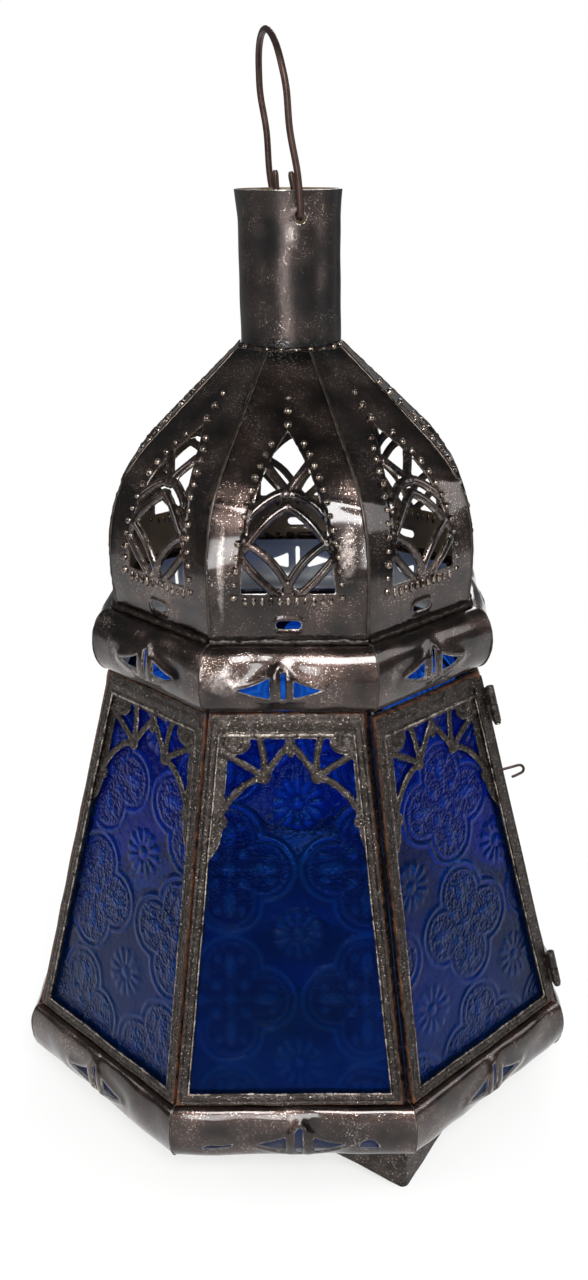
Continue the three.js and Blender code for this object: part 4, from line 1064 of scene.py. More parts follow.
def tracery_mesh(name, face):
    """The pierced sheet of a face, drawn by shares of its half width and its depth."""
    top = SLOPE_LENGTH - (top_gap(face) - SEAT) / math.cos(LEAN) - TOP_RAIL
    low = top - TRACERY_DEPTH

    def at(side, across, down):
        up = top - down * TRACERY_DEPTH
        return (side * across * (half_width(up) - STILE), up)

    straps, plates, bosses, scrolls = [[(0.0, top - 7.0), (0.0, top + 1.0)]], [], [], []
    for side in (-1, 1):
        node = at(side, 0.36, 0.31)
        straps += [
            curve(at(side, -0.01, 0.05), at(side, 0.20, 0.17), node),
            curve(node, at(side, 0.34, 0.14), at(side, 0.47, -0.03)),
            curve(node, at(side, 0.59, 0.22), at(side, 0.97, 0.12)),
            curve(node, at(side, 0.72, 0.34), at(side, 0.93, 0.62)),
        ]
        bosses += [(node, 2.5), (at(side, 0.0, 0.06), 1.9)]
        margin = [(side * (half_width(top) - 3.9), top + 1.6), at(side, 0.87, -0.03)]
        margin += curve(at(side, 0.88, 0.1), at(side, 0.86, 0.34), at(side, 0.88, 0.56), steps=5)
        margin += [at(side, 0.85, 0.60), at(side, 0.81, 0.63), at(side, 0.82, 0.68), at(side, 0.87, 0.70)]
        margin += curve(at(side, 0.87, 0.71), at(side, 0.88, 0.84), at(side, 1.0, 0.92), steps=5)
        margin += [(side * (half_width(low) - 3.9), low)]
        plates.append(margin)
        x, y = at(side, 0.78, 0.035)
        spiral = [(4.6 - 0.42 * t, t + 0.3) for t in np.linspace(0, 6.6, 26)]
        scrolls.append([(x - side * reach * math.cos(a), y - reach * math.sin(a)) for reach, a in spiral])
        plates.append([(x + side * 5.5 * math.cos(a), y + 5.0 * math.sin(a))
                       for a in np.linspace(0, 6.2, 20)])

    def keep(u, v):
        metal = np.maximum(v - (top - 1.2), -50)
        for path in straps + scrolls:
            metal = np.maximum(metal, TRACERY_STRAP_HALF - line_distance(u, v, path))
        for plate in plates:
            metal = np.maximum(metal, inside_distance(u, v, plate))
        for (x, y), radius in bosses:
            metal = np.maximum(metal, radius - np.hypot(u - x, v - y))
        inside_frame = (half_width(v) - 4.1 - np.abs(u)) * STILE_SLANT
        return np.minimum(np.minimum(metal, inside_frame), np.minimum(top + 1.4 - v, v - low))

    def relief(u, v):
        bow = np.zeros(np.shape(u))
        for path in straps:
            bow = np.maximum(bow, 0.55 * bowed(line_distance(u, v, path), TRACERY_STRAP_HALF))
        for path in scrolls:
            bow = np.maximum(bow, 0.6 * bowed(line_distance(u, v, path), 1.0))
        for (x, y), radius in bosses:
            bow = np.maximum(bow, 0.7 * bowed(np.hypot(u - x, v - y), radius))
        return bow + dents(u, v, 80 + face, 14, 0.05)

    wide = half_width(low) - 3.0
    return sheet_mesh(name, np.arange(-wide, wide + TRACERY_GRID, TRACERY_GRID),
                      np.arange(low - TRACERY_GRID, top + 4 * TRACERY_GRID, TRACERY_GRID), keep,
                      face_surface(TRACERY_OUT), relief)


for face in range(1, SIDES + 1):
    _, _, tracery_node, body = names_of(face)
    name = f"{tracery_node}_pierced"
    data = tracery_mesh(name, face)
    add_piece(name, turned(data, face), body, dull_tin, "dull_tin", tracery_node)
print("tracery faces", len(data.polygons))

# %% [markdown]
# ## The rolled panes
# Hot glass is rolled between a smooth and an engraved roller, which leaves a shallow relief on one
# side: roundels of four lobes in rows, each with a sprig on a stippled ground, and a daisy between
# every four. Such patterns are old and common. Here the relief is a height over the pane, and the back
# stays flat. A bump map would be lighter, but only a real relief bends the light that comes through.
# %% Relief of the glass
PITCH_ACROSS, PITCH_UP = 52.0, 51.0
LOBE_RADIUS, LOBE_PLACE = 12.3, 12.5
PATTERN_PLACES = {1: (2.5, 17.0), 2: (-24.5, 30.0)}
GLASS_GRID = 0.75


def lobes(u, v, place):
    """Distance to the outline of the roundel of four lobes, below zero inside it."""
    x = (u - place[0]) % PITCH_ACROSS - PITCH_ACROSS / 2
    y = (v - place[1]) % PITCH_UP - PITCH_UP / 2
    far = np.maximum(np.abs(x), np.abs(y)) - LOBE_PLACE
    near = np.minimum(np.abs(x), np.abs(y))
    return np.minimum(np.hypot(far, near) - LOBE_RADIUS, np.hypot(x, y) - 10.0), x, y


def mound(across, up):
    """A rounded mound from shares of its half width and half length."""
    return np.sqrt(np.clip(1 - across ** 2 - up ** 2, 0, 1))


def glass_relief(u, v, place):
    """Height of the rolled pattern: outlines, sprigs, berries and daisies; a daisy stands at place."""
    outline, x, y = lobes(u, v, place)
    height = 0.40 * np.exp(-(outline / 0.85) ** 2) + 0.24 * np.exp(-((outline + 2.9) / 0.7) ** 2)
    far, near = np.maximum(np.abs(x), np.abs(y)), np.minimum(np.abs(x), np.abs(y))
    height = height + 0.38 * mound((far - 13.5) / 5.5, near / 2.6)
    height = height + 0.30 * mound((far - 16.0) / 2.2, (near - 4.6) / 1.7)
    height = height + 0.40 * mound(x / 2.6, y / 2.6) + 0.34 * mound((far - 5.6) / 2.1, (near - 5.6) / 2.1)
    stalk = 0.22 * np.exp(-(near / 0.6) ** 2) * (far < 9)
    height = np.maximum(height, stalk)
    x = (u - place[0] + PITCH_ACROSS / 2) % PITCH_ACROSS - PITCH_ACROSS / 2
    y = (v - place[1] + PITCH_UP / 2) % PITCH_UP - PITCH_UP / 2
    radius, angle = np.hypot(x, y), np.arctan2(y, x)
    petal = np.clip((radius - 2.8) / 1.5, 0, 1) * np.clip((10.2 - radius) / 1.8, 0, 1)
    height = height + 0.36 * petal * (0.5 + 0.5 * np.cos(12 * angle)) ** 0.7
    return height + 0.42 * mound(x / 2.4, y / 2.4)


print("daisy's middle", float(glass_relief(np.zeros(1), np.zeros(1), (0, 0))[0]), "mm high")


# %% [markdown]
# A pane is a trapezoid that slips into the slots of its frame. The pattern dies out towards its edge,
# so the pane is flat where the tin holds it.
# %% Panes
def glass_mesh(name, face):
    """A pane that reaches into the slots of its frame, with the pattern where the roller left it."""
    reach = SLOT_DEPTH - SEAT
    low = BOTTOM_RAIL - reach
    high = SLOPE_LENGTH - (top_gap(face) - SEAT) / math.cos(LEAN) - TOP_RAIL + reach
    place = PATTERN_PLACES.get(face, (7.0 * face, 11.0 * face))

    def keep(u, v):
        side = (half_width(v) - STILE + reach - np.abs(u)) * STILE_SLANT
        if face == 1:
            side = np.minimum(side, half_width(v) - STILE + reach - 2.9 - u)
        return np.minimum(side, np.minimum(v - low, high - v))

    def relief(u, v):
        fade = np.clip(keep(u, v) / 2.5, 0, 1)
        return (glass_relief(u, v, place) - 0.1) * fade

    def stippled(u, v):
        return np.clip(-2 - lobes(u, v, place)[0], 0, 1)

    def raised(u, v):
        return np.clip(glass_relief(u, v, place) / 0.4, 0, 1)

    half = half_width(low)
    return sheet_mesh(name, np.arange(-half, half + GLASS_GRID, GLASS_GRID),
                      grid_lines(low, high, GLASS_GRID), keep, face_surface(GLASS_OUT), relief,
                      thickness=GLASS_THICKNESS, flat_back=True, stippled=stippled, raised=raised)


for face in range(1, SIDES + 1):
    _, glass_node, _, body = names_of(face)
    name = f"{glass_node}_rolled"
    data = glass_mesh(name, face)
    add_piece(name, turned(data, face), body, cobalt_glass, "blue_glass", glass_node)
print("glass faces", len(data.polygons))

# %% [markdown]
# ## The neck tube
# The tube is one sheet rolled round, lapped about 4 mm and soldered down the lap. It is built in the
# flat as well, its length round the tube against its height, so the two bail holes and the vent are
# cut like any other opening. The rim flares a little, and the punch left a burr round each hole.
# %% Shape of the tube
TUBE_RADIUS = 19.1
TUBE_LAP = 4.0
LAP_ANGLE = math.radians(82)
FLARE = 0.9
FLARE_HEIGHT = 11.0
BAIL_HEIGHT = Z_RIM - 9.5
BAIL_HOLE_RADIUS = 2.3
BAIL_TURN = math.radians(14.6)
VENT_TURN = math.radians(44)
tube_low = level("neck_tube", 0)
tube_round = math.tau * TUBE_RADIUS


def tube_surface(u, v):
    """Length round the tube from the lap, and height; the last few millimetres lie over the start."""
    climb = np.clip((u - tube_round + TUBE_LAP) / TUBE_LAP, 0, 1)
    lap = (SHEET + 0.05) * climb * climb * (3 - 2 * climb)
    flare = FLARE * np.clip((v - Z_RIM + FLARE_HEIGHT) / FLARE_HEIGHT, 0, 1.2) ** 1.3
    radius = TUBE_RADIUS - 0.05 + flare + lap
    angle = u / TUBE_RADIUS + LAP_ANGLE - math.pi / 2
    return np.stack([radius * np.cos(angle), radius * np.sin(angle), v], axis=-1)


def tube_length(turn):
    """Length round the tube at a turn from the front."""
    return ((turn - LAP_ANGLE) % math.tau) * TUBE_RADIUS


bail_holes = [(tube_length(BAIL_TURN), BAIL_HEIGHT), (tube_length(BAIL_TURN + math.pi), BAIL_HEIGHT)]
vent = (tube_length(VENT_TURN), Z_RIM - 6.2)
print("tube", round(tube_round, 1), "mm round, holes at", [round(x, 1) for x, _ in bail_holes])


# %% [markdown]
# The cut, the relief and the marks are functions of the flat sheet again: two round holes with a burr,
# a narrow vent, black where the dome is soldered on and a painted highlight under the rim.
# %% Tube
def tube_keep(u, v):
    metal = np.minimum(np.minimum(u, tube_round + TUBE_LAP - u), np.minimum(v - tube_low, Z_RIM - v))
    for x, y in bail_holes:
        metal = np.minimum(metal, np.hypot(u - x, v - y) - BAIL_HOLE_RADIUS)
    return np.minimum(metal, np.maximum(np.abs(u - vent[0]) - 0.7, np.abs(v - vent[1]) - 1.4))


def tube_relief(u, v):
    pressed = dents(u, v, 5, 24, 0.16)
    for x, y in bail_holes:
        away = np.hypot(u - x, v - y) - BAIL_HOLE_RADIUS
        pressed = pressed + 0.45 * np.exp(-((away - 0.4) / 0.6) ** 2)
    return pressed


def tube_burnt(u, v):
    """Black where the dome is soldered on, with a ragged upper edge."""
    return np.clip((Z_NECK + 4.5 + 0.8 * np.sin(u / 2.3) + 0.6 * np.sin(u / 0.9) - v) / 1.2, 0, 1)


def tube_thin(u, v):
    """A painted highlight under the rim, at the front of the tube."""
    return 0.8 * np.exp(-((v - Z_RIM + 15) / 7) ** 2 - ((u - tube_length(0.0) - 2) / 3.5) ** 2)


data = sheet_mesh("neck_tube_rolled", grid_lines(0, tube_round + TUBE_LAP, GORE_GRID),
                  grid_lines(tube_low, Z_RIM, GORE_GRID), tube_keep, tube_surface, tube_relief,
                  burnt=tube_burnt, thin=tube_thin)
# The tube's lacquer was wiped on thinly, so its shine is broad and soft
wiped_tin = lacquered_tin.copy()
wiped_tin.name = "wiped lacquer on tinplate"
wiped_tin.node_tree.nodes["Principled BSDF"].inputs["Coat Roughness"].default_value = 0.38
add_piece("neck_tube_rolled", data, "root", wiped_tin, "lacquered_tin", "neck_tube")
print("tube faces", len(data.polygons))

# %% [markdown]
# ## Bodies carried along a path
# Wire, rolled knuckles and the cup are rings of points joined in order: along a path for a wire,
# round an axis for a cup. The volume's sign tells whether the faces point outwards. A curve object
# with a bevel would also make the wire, but here its ends can be rounded like snipped and filed wire.
# %% Join rings
def swept(rings, looped=False):
    """Points and faces through rings of equal count; looped joins the last ring to the first."""
    rings = np.asarray(rings, float)
    count, sides = rings.shape[:2]
    faces = []
    for k in range(count if looped else count - 1):
        ahead = (k + 1) % count
        for j in range(sides):
            after = (j + 1) % sides
            faces.append((k * sides + j, k * sides + after, ahead * sides + after, ahead * sides + j))
    if not looped:
        faces.append(tuple(reversed(range(sides))))
        faces.append(tuple(range((count - 1) * sides, count * sides)))
    points = rings.reshape(-1, 3)
    volume = 0.0
    for face in faces:
        for a, b in zip(face[1:-1], face[2:]):
            volume += points[face[0]].dot(np.cross(points[a], points[b]))
    if volume < 0:
        faces = [tuple(reversed(face)) for face in faces]
    return points, faces


def together(*bodies):
    """Several bodies as one list of points and faces."""
    points, faces, start = [], [], 0
    for body_points, body_faces in bodies:
        points.append(body_points)
        faces += [tuple(p + start for p in face) for face in body_faces]
        start += len(body_points)
    return np.vstack(points), faces


box_rings = [[(0, 0, z), (1, 0, z), (1, 1, z), (0, 1, z)] for z in (0, 1)]
print("a box of two rings has", len(swept(box_rings)[1]), "faces")


# %% [markdown]
# A wire needs a smooth path and a frame of directions along it. The directions are carried from ring
# to ring and only turned as far as the path turns, so the wire doesn't twist.
# %% Wires and spun bodies
def through(points, steps=8):
    """A smooth path through points, at each of them parallel to the line between its neighbours."""
    points = [np.array(p, float) for p in points]
    ends = [2 * points[0] - points[1]] + points + [2 * points[-1] - points[-2]]
    path = []
    for a, b, c, d in zip(ends, ends[1:], ends[2:], ends[3:]):
        for t in np.linspace(0, 1, steps, endpoint=False):
            path.append(0.5 * (2 * b + (c - a) * t + (2 * a - 5 * b + 4 * c - d) * t ** 2
                               + (3 * b - 3 * c + d - a) * t ** 3))
    return np.array(path + [points[-1]])


def wire(path, radius, sides=14):
    """A round wire along a path, turned as little as possible, with rounded ends."""
    tangents = np.gradient(path, axis=0)
    tangents /= np.linalg.norm(tangents, axis=1)[:, None]
    side = np.cross(tangents[0], (0.3, 1.0, 0.2))
    rings = []
    slim = np.ones(len(path))
    slim[[0, -1]] = 0.6
    slim[[1, -2]] = 0.92
    for here, ahead, share in zip(path, tangents, slim):
        side = side - ahead * side.dot(ahead)
        side /= np.linalg.norm(side)
        other = np.cross(ahead, side)
        rings.append([here + radius * share * (math.cos(a) * side + math.sin(a) * other)
                      for a in np.linspace(0, math.tau, sides, endpoint=False)])
    return swept(rings)


def spun(profile, segments=32):
    """A closed profile of radius and height carried round the Z axis."""
    rings = [[(r * math.cos(a), r * math.sin(a), z) for r, z in profile]
             for a in np.linspace(0, math.tau, segments, endpoint=False)]
    return swept(rings, looped=True)


print("points of a wire along two runs", len(wire(through([(0, 0, 0), (1, 0, 0), (2, 1, 0)]), 0.1)[0]))

# %% [markdown]
# The bail is drawn in its own plane, along the axis of its holes and up, then leant 6.7 degrees and
# turned to the holes. Each leg passes through its hole and turns up inside the tube. A hand-bent bail
# is never true, so its legs wander a little and one has a kink near the top.
# %% Bail
BAIL_LEAN = math.radians(6.7)
BAIL_RISE = 65
BAIL_PLAY = 1.0
WIRE_RADIUS = 1.25
bail_leg = TUBE_RADIUS + WIRE_RADIUS + BAIL_PLAY
bail_stub = TUBE_RADIUS - SHEET - WIRE_RADIUS - BAIL_PLAY
arch_start = BAIL_RISE - WIRE_RADIUS - bail_leg
half_bail = [(bail_stub, -0.7, 15.9), (bail_stub, -0.2, 9.6), (bail_stub, 0, 2.6), (bail_stub + 0.7, 0, 0.7),
             ((bail_stub + bail_leg) / 2, 0, 0), (bail_leg - 0.7, 0, 0.7), (bail_leg, 0, 2.6),
             (bail_leg + 0.3, 0.5, arch_start * 0.35), (bail_leg - 0.2, -0.3, arch_start * 0.7),
             (bail_leg, 0.2, arch_start)]
over_top = [(bail_leg * math.cos(a), 0, arch_start - 0.05 + bail_leg * math.sin(a))
            for a in np.linspace(0, math.pi, 9)[1:-1]]
bail_flat = half_bail + over_top + [(-x, -y, z) for x, y, z in half_bail[::-1]]
bail_curve = through(bail_flat, 6)
lean = np.array(Matrix.Rotation(BAIL_LEAN, 3, "X"))
turn = np.array(Matrix.Rotation(BAIL_TURN - math.pi / 2, 3, "Z"))
bail_curve = bail_curve @ (turn @ lean).T + (0, 0, BAIL_HEIGHT)
data = mesh_of("bail_wire", *wire(bail_curve, WIRE_RADIUS), smooth_to=60)
add_piece("bail_wire", data, "bail", iron_wire, "iron_wire", "bail")
print("bail faces", len(data.polygons))

# %% [markdown]
# The turn-hook is a thinner wire: out of the door's free stile, round, and back below itself. A
# flattened button holds it from the inside.
# %% Turn-hook
HOOK_RADIUS = 0.65
HOOK_REACH = 9.8
HOOK_BEND = 2.2
hook_up = 69.5 / math.cos(LEAN)
hook_across = half_width(hook_up) - 3.3
hook_side = [(-6.3, 0), (-2.35, 0), (0, 0.05), (HOOK_REACH / 2, 0), (HOOK_REACH, 0)]
hook_side += [(HOOK_REACH + HOOK_BEND * math.sin(a), HOOK_BEND * math.cos(a) - HOOK_BEND)
              for a in np.linspace(0.5, 2.6, 5)]
hook_side += [(HOOK_REACH, -4.4), (HOOK_REACH - 2.3, -4.9), (HOOK_REACH - 4.2, -5.1)]
hook_line = through([leant(hook_across + 0.1 * out, hook_up + up, out) for out, up in hook_side], 6)
button = np.array([leant(hook_across + 1.5 * math.cos(a), hook_up + 1.5 * math.sin(a), out)
                   for out in (-5.1, -5.8) for a in np.linspace(0, math.tau, 14, endpoint=False)])
hook_body = together(wire(hook_line, HOOK_RADIUS, 12), swept(button.reshape(2, 14, 3)))
data = mesh_of("latch_hook_wire", *hook_body)
add_piece("latch_hook_wire", turned(data, DOOR_FACE), "hook", iron_wire, "iron_wire", "latch_hook")
print("hook faces", len(data.polygons))

# %% [markdown]
# ## The door's hinge
# Two leaf strips lie along the corner, one soldered to the door and one to the frame beside it. Their
# tongues are rolled into knuckles, two to a pair, and a pin from each fixed knuckle goes down through
# the door's. The hinge is worked upright and then leant into the corner, as the CAD model has it.
# %% Place of the hinge
corner_lean = math.atan(math.tan(LEAN) / math.cos(TURN / 2))
corner_length = BODY_HEIGHT / math.cos(corner_lean)
hinge_place = (Matrix.Rotation((DOOR_FACE - 1.5) * TURN - math.pi / 2, 4, "Z")
               @ Matrix.Translation((BODY_BASE_APOTHEM / math.cos(TURN / 2) * MM, 0, Z_BODY * MM))
               @ Matrix.Rotation(-corner_lean, 4, "Y"))
KNUCKLE_RADIUS = 1.7
KNUCKLE_LENGTH = 7.5
PIN_RADIUS = 0.7
hinge_offset = (KNUCKLE_RADIUS + 2 * SEAT + SHEET) / math.cos(TURN / 2)
pair_length = 2 * KNUCKLE_LENGTH + SEAT
pair_lows = [9.0, corner_length - 9.0 - pair_length]
strip_low, strip_high = 3.0, corner_length - 2.6 - 3.0
print("hinge pairs from", [round(low, 1) for low in pair_lows], "mm up the corner")


# %% [markdown]
# A strip is a few simple bodies in one mesh, which overlap where the real strip is one bent sheet:
# bars drawn from a section, and knuckles and pins spun round the line of the pins.
# %% Hinge strips and their pins
def bar(section, low, high, bend=None, cuts=2):
    """A bar with a section of points in the XY plane, from one height to another."""
    return swept([[(x, y + (bend(z) if bend else 0), z) for x, y in section]
                  for z in np.linspace(low, high, cuts)])


def folded_out(section, side):
    """A section turned with its leaf into the plane of its face."""
    angle = side * TURN / 2
    return [(x * math.cos(angle) - y * math.sin(angle), x * math.sin(angle) + y * math.cos(angle))
            for x, y in section]


def round_pin(profile, segments):
    """A profile of radius and height spun round the line of the pins."""
    points, faces = spun(profile, segments)
    return points + (hinge_offset, 0, 0), faces


def hinge_strip(name, side, shift):
    """A leaf strip with its knuckles; side is 1 for the door's and -1 for the fixed one."""
    near, far = side * 0.5, side * 4.9
    leaf = [(0.3, near), (0.9, near), (0.95, (near + far) / 2), (0.9, far - side * 0.15), (0.75, far),
            (0.3, far)]
    bodies = [bar(folded_out(leaf, side), strip_low, strip_high, lambda z: 0.12 * math.sin(z / 9), 30)]
    tongue = [(0.3, side * 1.1), (2.2, side * 1.1), (2.2, -side * 0.1), (0.3, -side * 0.1)]
    for low in pair_lows:
        start = low + shift
        end = start + KNUCKLE_LENGTH
        bodies.append(bar(folded_out(tongue, side), start + 0.1, end - 0.1))
        bodies.append(round_pin([
            (PIN_RADIUS + 0.15, start), (KNUCKLE_RADIUS - 0.15, start), (KNUCKLE_RADIUS, start + 0.2),
            (KNUCKLE_RADIUS + 0.02, start + 3.6), (KNUCKLE_RADIUS, end - 0.2), (KNUCKLE_RADIUS - 0.15, end),
            (PIN_RADIUS + 0.15, end)], 28))
        if side < 0:
            pin_top = low + KNUCKLE_LENGTH + 0.6
            bodies.append(round_pin([
                (0.01, low - 1.1), (1.15, low - 1.1), (1.4, low - 0.75), (1.3, low - 0.35),
                (PIN_RADIUS, low - 0.3), (PIN_RADIUS, pin_top), (0.01, pin_top)], 20))
    data = mesh_of(name, *together(*bodies))
    data.transform(hinge_place)
    return data


add_piece("door_hinge_rolled", hinge_strip("door_hinge_rolled", 1, 0.0), "door", dull_tin, "dull_tin",
          "door_hinge_strip")
fixed_hinge = hinge_strip("fixed_hinge_rolled", -1, KNUCKLE_LENGTH + SEAT)
add_piece("fixed_hinge_rolled", fixed_hinge, "root", dull_tin, "dull_tin", "fixed_hinge_strip")
print("hinge ready, corner", round(corner_length, 1), "mm long")

# %% [markdown]
# ## Feet, plate and cup
# A foot is one triangle of tin folded down its middle round a corner. The plate is the CAD model's
# own octagon with a better finish. The cup is spun, and its rim is rolled over a wire.
# %% Feet
FOOT_CORNERS = (1, 4, 6)
FOOT_GRID = 0.7
FOOT_LENGTH = 33.6
FOOT_TIP = 1.6
foot_top = Z_BASE - SEAT
fold_radius = (BODY_BASE_APOTHEM - 4.5) / math.cos(TURN / 2)


def foot_surface(u, v):
    """Length along the folded sheet from the fold, and height."""
    back = np.sqrt(u ** 2 + 0.5) - 0.7
    return np.stack([u * math.cos(TURN / 2), -fold_radius + 0.35 + back * math.sin(TURN / 2), v], axis=-1)


def foot_keep(u, v):
    slant = FOOT_LENGTH - FOOT_TIP
    side = (FOOT_TIP + slant * v / foot_top - np.abs(u)) * foot_top / math.hypot(slant, foot_top)
    return np.minimum(side, np.minimum(v - 0.06, foot_top - 0.1 - v))


for number, corner in enumerate(FOOT_CORNERS, 1):
    def foot_relief(u, v):
        """Dents that die out towards the foot's tip."""
        return dents(u, v, 3 + corner, 14, 0.12) * np.clip(v / 3, 0, 1)

    name = f"foot_{number}_folded"
    data = sheet_mesh(name, np.arange(-34.3, 35, FOOT_GRID), grid_lines(0, foot_top, FOOT_GRID), foot_keep,
                      foot_surface, foot_relief)
    add_piece(name, turned(data, corner + 0.5), "root", dull_tin, "dull_tin", f"foot_{number}")
print("feet", len(FOOT_CORNERS))

# %% Plate and cup
bare_tin = mottled_metal("bare tinplate", 120.0, 5.0, 0.6, "5f5a54", "a9a49c", 0.7, (0.3, 0.6), (0.3, 0.0008))
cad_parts["base_plate"].material_slots[0].material = bare_tin

CUP_RADIUS, CUP_HEIGHT, RIM_ROLL = 30.0, 14.0, 0.7
cup_low = level("candle_cup", 0)
outside = [(-1.6, 0.0), (-0.8, 0.5), (-0.5, 1.5), (-0.3, CUP_HEIGHT - 1.6)]
rolled = [(RIM_ROLL * math.cos(a) - RIM_ROLL, RIM_ROLL * math.sin(a) + CUP_HEIGHT - RIM_ROLL)
          for a in np.linspace(-0.6, math.pi + 0.9, 12)]
within = [(-0.95, CUP_HEIGHT - 1.6), (-1.1, 1.8), (-1.8, 0.8)]
cup_profile = [(CUP_RADIUS + across, cup_low + up) for across, up in outside + rolled + within]
cup_profile = [(0.02, cup_low)] + cup_profile + [(0.02, cup_low + 0.6)]
data = mesh_of("candle_cup_spun", *spun(cup_profile, 72))
add_piece("candle_cup_spun", data, "root", bare_tin, "dull_tin", "candle_cup")
print("cup faces", len(data.polygons))

# %% [markdown]
# ## Solder by Geometry Nodes
# Solder follows joints, so each bead is a guide line swept with a small circle, and noise makes the
# skin uneven. The tree copies the bead round the axis before the noise, so no two joints are alike.
# Geometry Nodes suit what follows a line: the same tree serves every joint with other sizes.
# %% Parts that both trees share
def new_tree(name, inputs):
    """An empty Geometry Nodes tree with a geometry in and out and named inputs."""
    tree = bpy.data.node_groups.new(name, "GeometryNodeTree")
    tree.interface.new_socket("Geometry", in_out="INPUT", socket_type="NodeSocketGeometry")
    tree.interface.new_socket("Geometry", in_out="OUTPUT", socket_type="NodeSocketGeometry")
    for label, kind in inputs:
        tree.interface.new_socket(label, in_out="INPUT", socket_type=kind)
    return tree, add(tree, "NodeGroupInput"), add(tree, "NodeGroupOutput")


def round_axis(tree, geometry, copies):
    """Copies a geometry round the Z axis by eighths of a turn and makes it one mesh."""
    stands = add(tree, "GeometryNodePoints", {"Count": copies})
    index = add(tree, "GeometryNodeInputIndex")
    angle = add(tree, "ShaderNodeMath", {0: index.outputs[0], 1: TURN}, operation="MULTIPLY")
    spin = add(tree, "ShaderNodeCombineXYZ", {"Z": angle.outputs[0]})
    placed = add(tree, "GeometryNodeInstanceOnPoints", {"Points": stands.outputs[0], "Instance": geometry,
                                                        "Rotation": spin.outputs[0]})
    return add(tree, "GeometryNodeRealizeInstances", {"Geometry": placed.outputs[0]}).outputs[0]


print("copies stand", round(math.degrees(TURN)), "degrees apart")

# %% [markdown]
# A bead is its guide line cut into even steps and swept with a circle of the bead's radius. The noise
# then moves its skin in and out along the normals, by the amount that the joint asks for.
# %% Tree for beads
bead_tree, start, end = new_tree("bead along a joint", [
    ("Radius", "NodeSocketFloat"), ("Unevenness", "NodeSocketFloat"), ("Step", "NodeSocketFloat"),
    ("Copies", "NodeSocketInt"), ("Material", "NodeSocketMaterial")])
lines = add(bead_tree, "GeometryNodeMeshToCurve", {"Mesh": start.outputs["Geometry"]})
even = add(bead_tree, "GeometryNodeResampleCurve",
           {"Curve": lines.outputs[0], "Length": start.outputs["Step"]}, mode="LENGTH")
circle = add(bead_tree, "GeometryNodeCurvePrimitiveCircle",
             {"Resolution": 8, "Radius": start.outputs["Radius"]})
rod = add(bead_tree, "GeometryNodeCurveToMesh", {"Curve": even.outputs[0], "Profile Curve": circle.outputs[0],
                                                 "Fill Caps": True})
rods = round_axis(bead_tree, rod.outputs[0], start.outputs["Copies"])
noise = add(bead_tree, "ShaderNodeTexNoise", {"Scale": 380.0, "Detail": 2.0})
centred = add(bead_tree, "ShaderNodeMath", {0: noise.outputs[0], 1: 0.5}, operation="SUBTRACT")
amount = add(bead_tree, "ShaderNodeMath", {0: centred.outputs[0], 1: start.outputs["Unevenness"]},
             operation="MULTIPLY")
normal = add(bead_tree, "GeometryNodeInputNormal")
offset = add(bead_tree, "ShaderNodeVectorMath", {0: normal.outputs[0], "Scale": amount.outputs[0]},
             operation="SCALE")
uneven = add(bead_tree, "GeometryNodeSetPosition", {"Geometry": rods, "Offset": offset.outputs[0]})
smooth = add(bead_tree, "GeometryNodeSetShadeSmooth", {"Geometry": uneven.outputs[0]})
coated = add(bead_tree, "GeometryNodeSetMaterial",
             {"Geometry": smooth.outputs[0], "Material": start.outputs["Material"]})
bead_tree.links.new(coated.outputs[0], end.inputs[0])
print("bead tree", len(bead_tree.nodes), "nodes")


# %% [markdown]
# A tree runs as a modifier on an object that holds the guide lines. Its result is taken as a plain
# mesh and the helper object is removed, so the scene holds only what the lantern has.
# %% Run a tree
def grown(name, tree, guides, values, vectors=None):
    """Runs a tree on guide lines and returns the result as a plain mesh."""
    points, edges = [], []
    for guide in guides:
        edges += [(len(points) + k, len(points) + k + 1) for k in range(len(guide) - 1)]
        points += list(guide)
    guide_mesh = bpy.data.meshes.new(name + "_guide")
    guide_mesh.from_pydata((np.array(points) * MM).tolist(), edges, [])
    if vectors is not None:
        guide_mesh.attributes.new("outward", "FLOAT_VECTOR", "POINT").data.foreach_set(
            "vector", np.asarray(vectors, np.float32).ravel())
    holder = bpy.data.objects.new(name + "_guide", guide_mesh)
    scene.collection.objects.link(holder)
    modifier = holder.modifiers.new("grow", "NODES")
    modifier.node_group = tree
    sockets = {item.name: item.identifier for item in tree.interface.items_tree if item.in_out == "INPUT"}
    for label, value in values.items():
        modifier[sockets[label]] = value
    graph = bpy.context.evaluated_depsgraph_get()
    made = bpy.data.meshes.new_from_object(holder.evaluated_get(graph), depsgraph=graph)
    made.name = name
    bpy.data.objects.remove(holder)
    bpy.data.meshes.remove(guide_mesh)
    return made


print("tree inputs", [item.name for item in bead_tree.interface.items_tree if item.in_out == "INPUT"])

# %% [markdown]
# The same tree lays the ribs of the dome, a ring at the foot of the tube, the burnt bead where the
# dome sits in the shoulder band, and the thin mitre lines of the bands.
# %% Ribs, collar and mitres
to_corner = 1 / math.cos(TURN / 2)
corner_way = np.array([math.sin(TURN / 2), -math.cos(TURN / 2)])


def on_corner(apothem, height):
    """A point in the plane between faces 1 and 2."""
    x, y = corner_way * apothem * to_corner
    return (x, y, height)


def bead(name, guides, radius, unevenness, step, copies, material, *stands_for):
    """Lays a bead along guide lines as a piece of the root body; its sizes are in millimetres."""
    values = {"Radius": radius * MM, "Unevenness": unevenness * MM, "Step": step * MM, "Copies": copies,
              "Material": material}
    made = grown(name, bead_tree, guides, values)
    add_piece(name, made, "root", material, "solder", *stands_for)
    return made


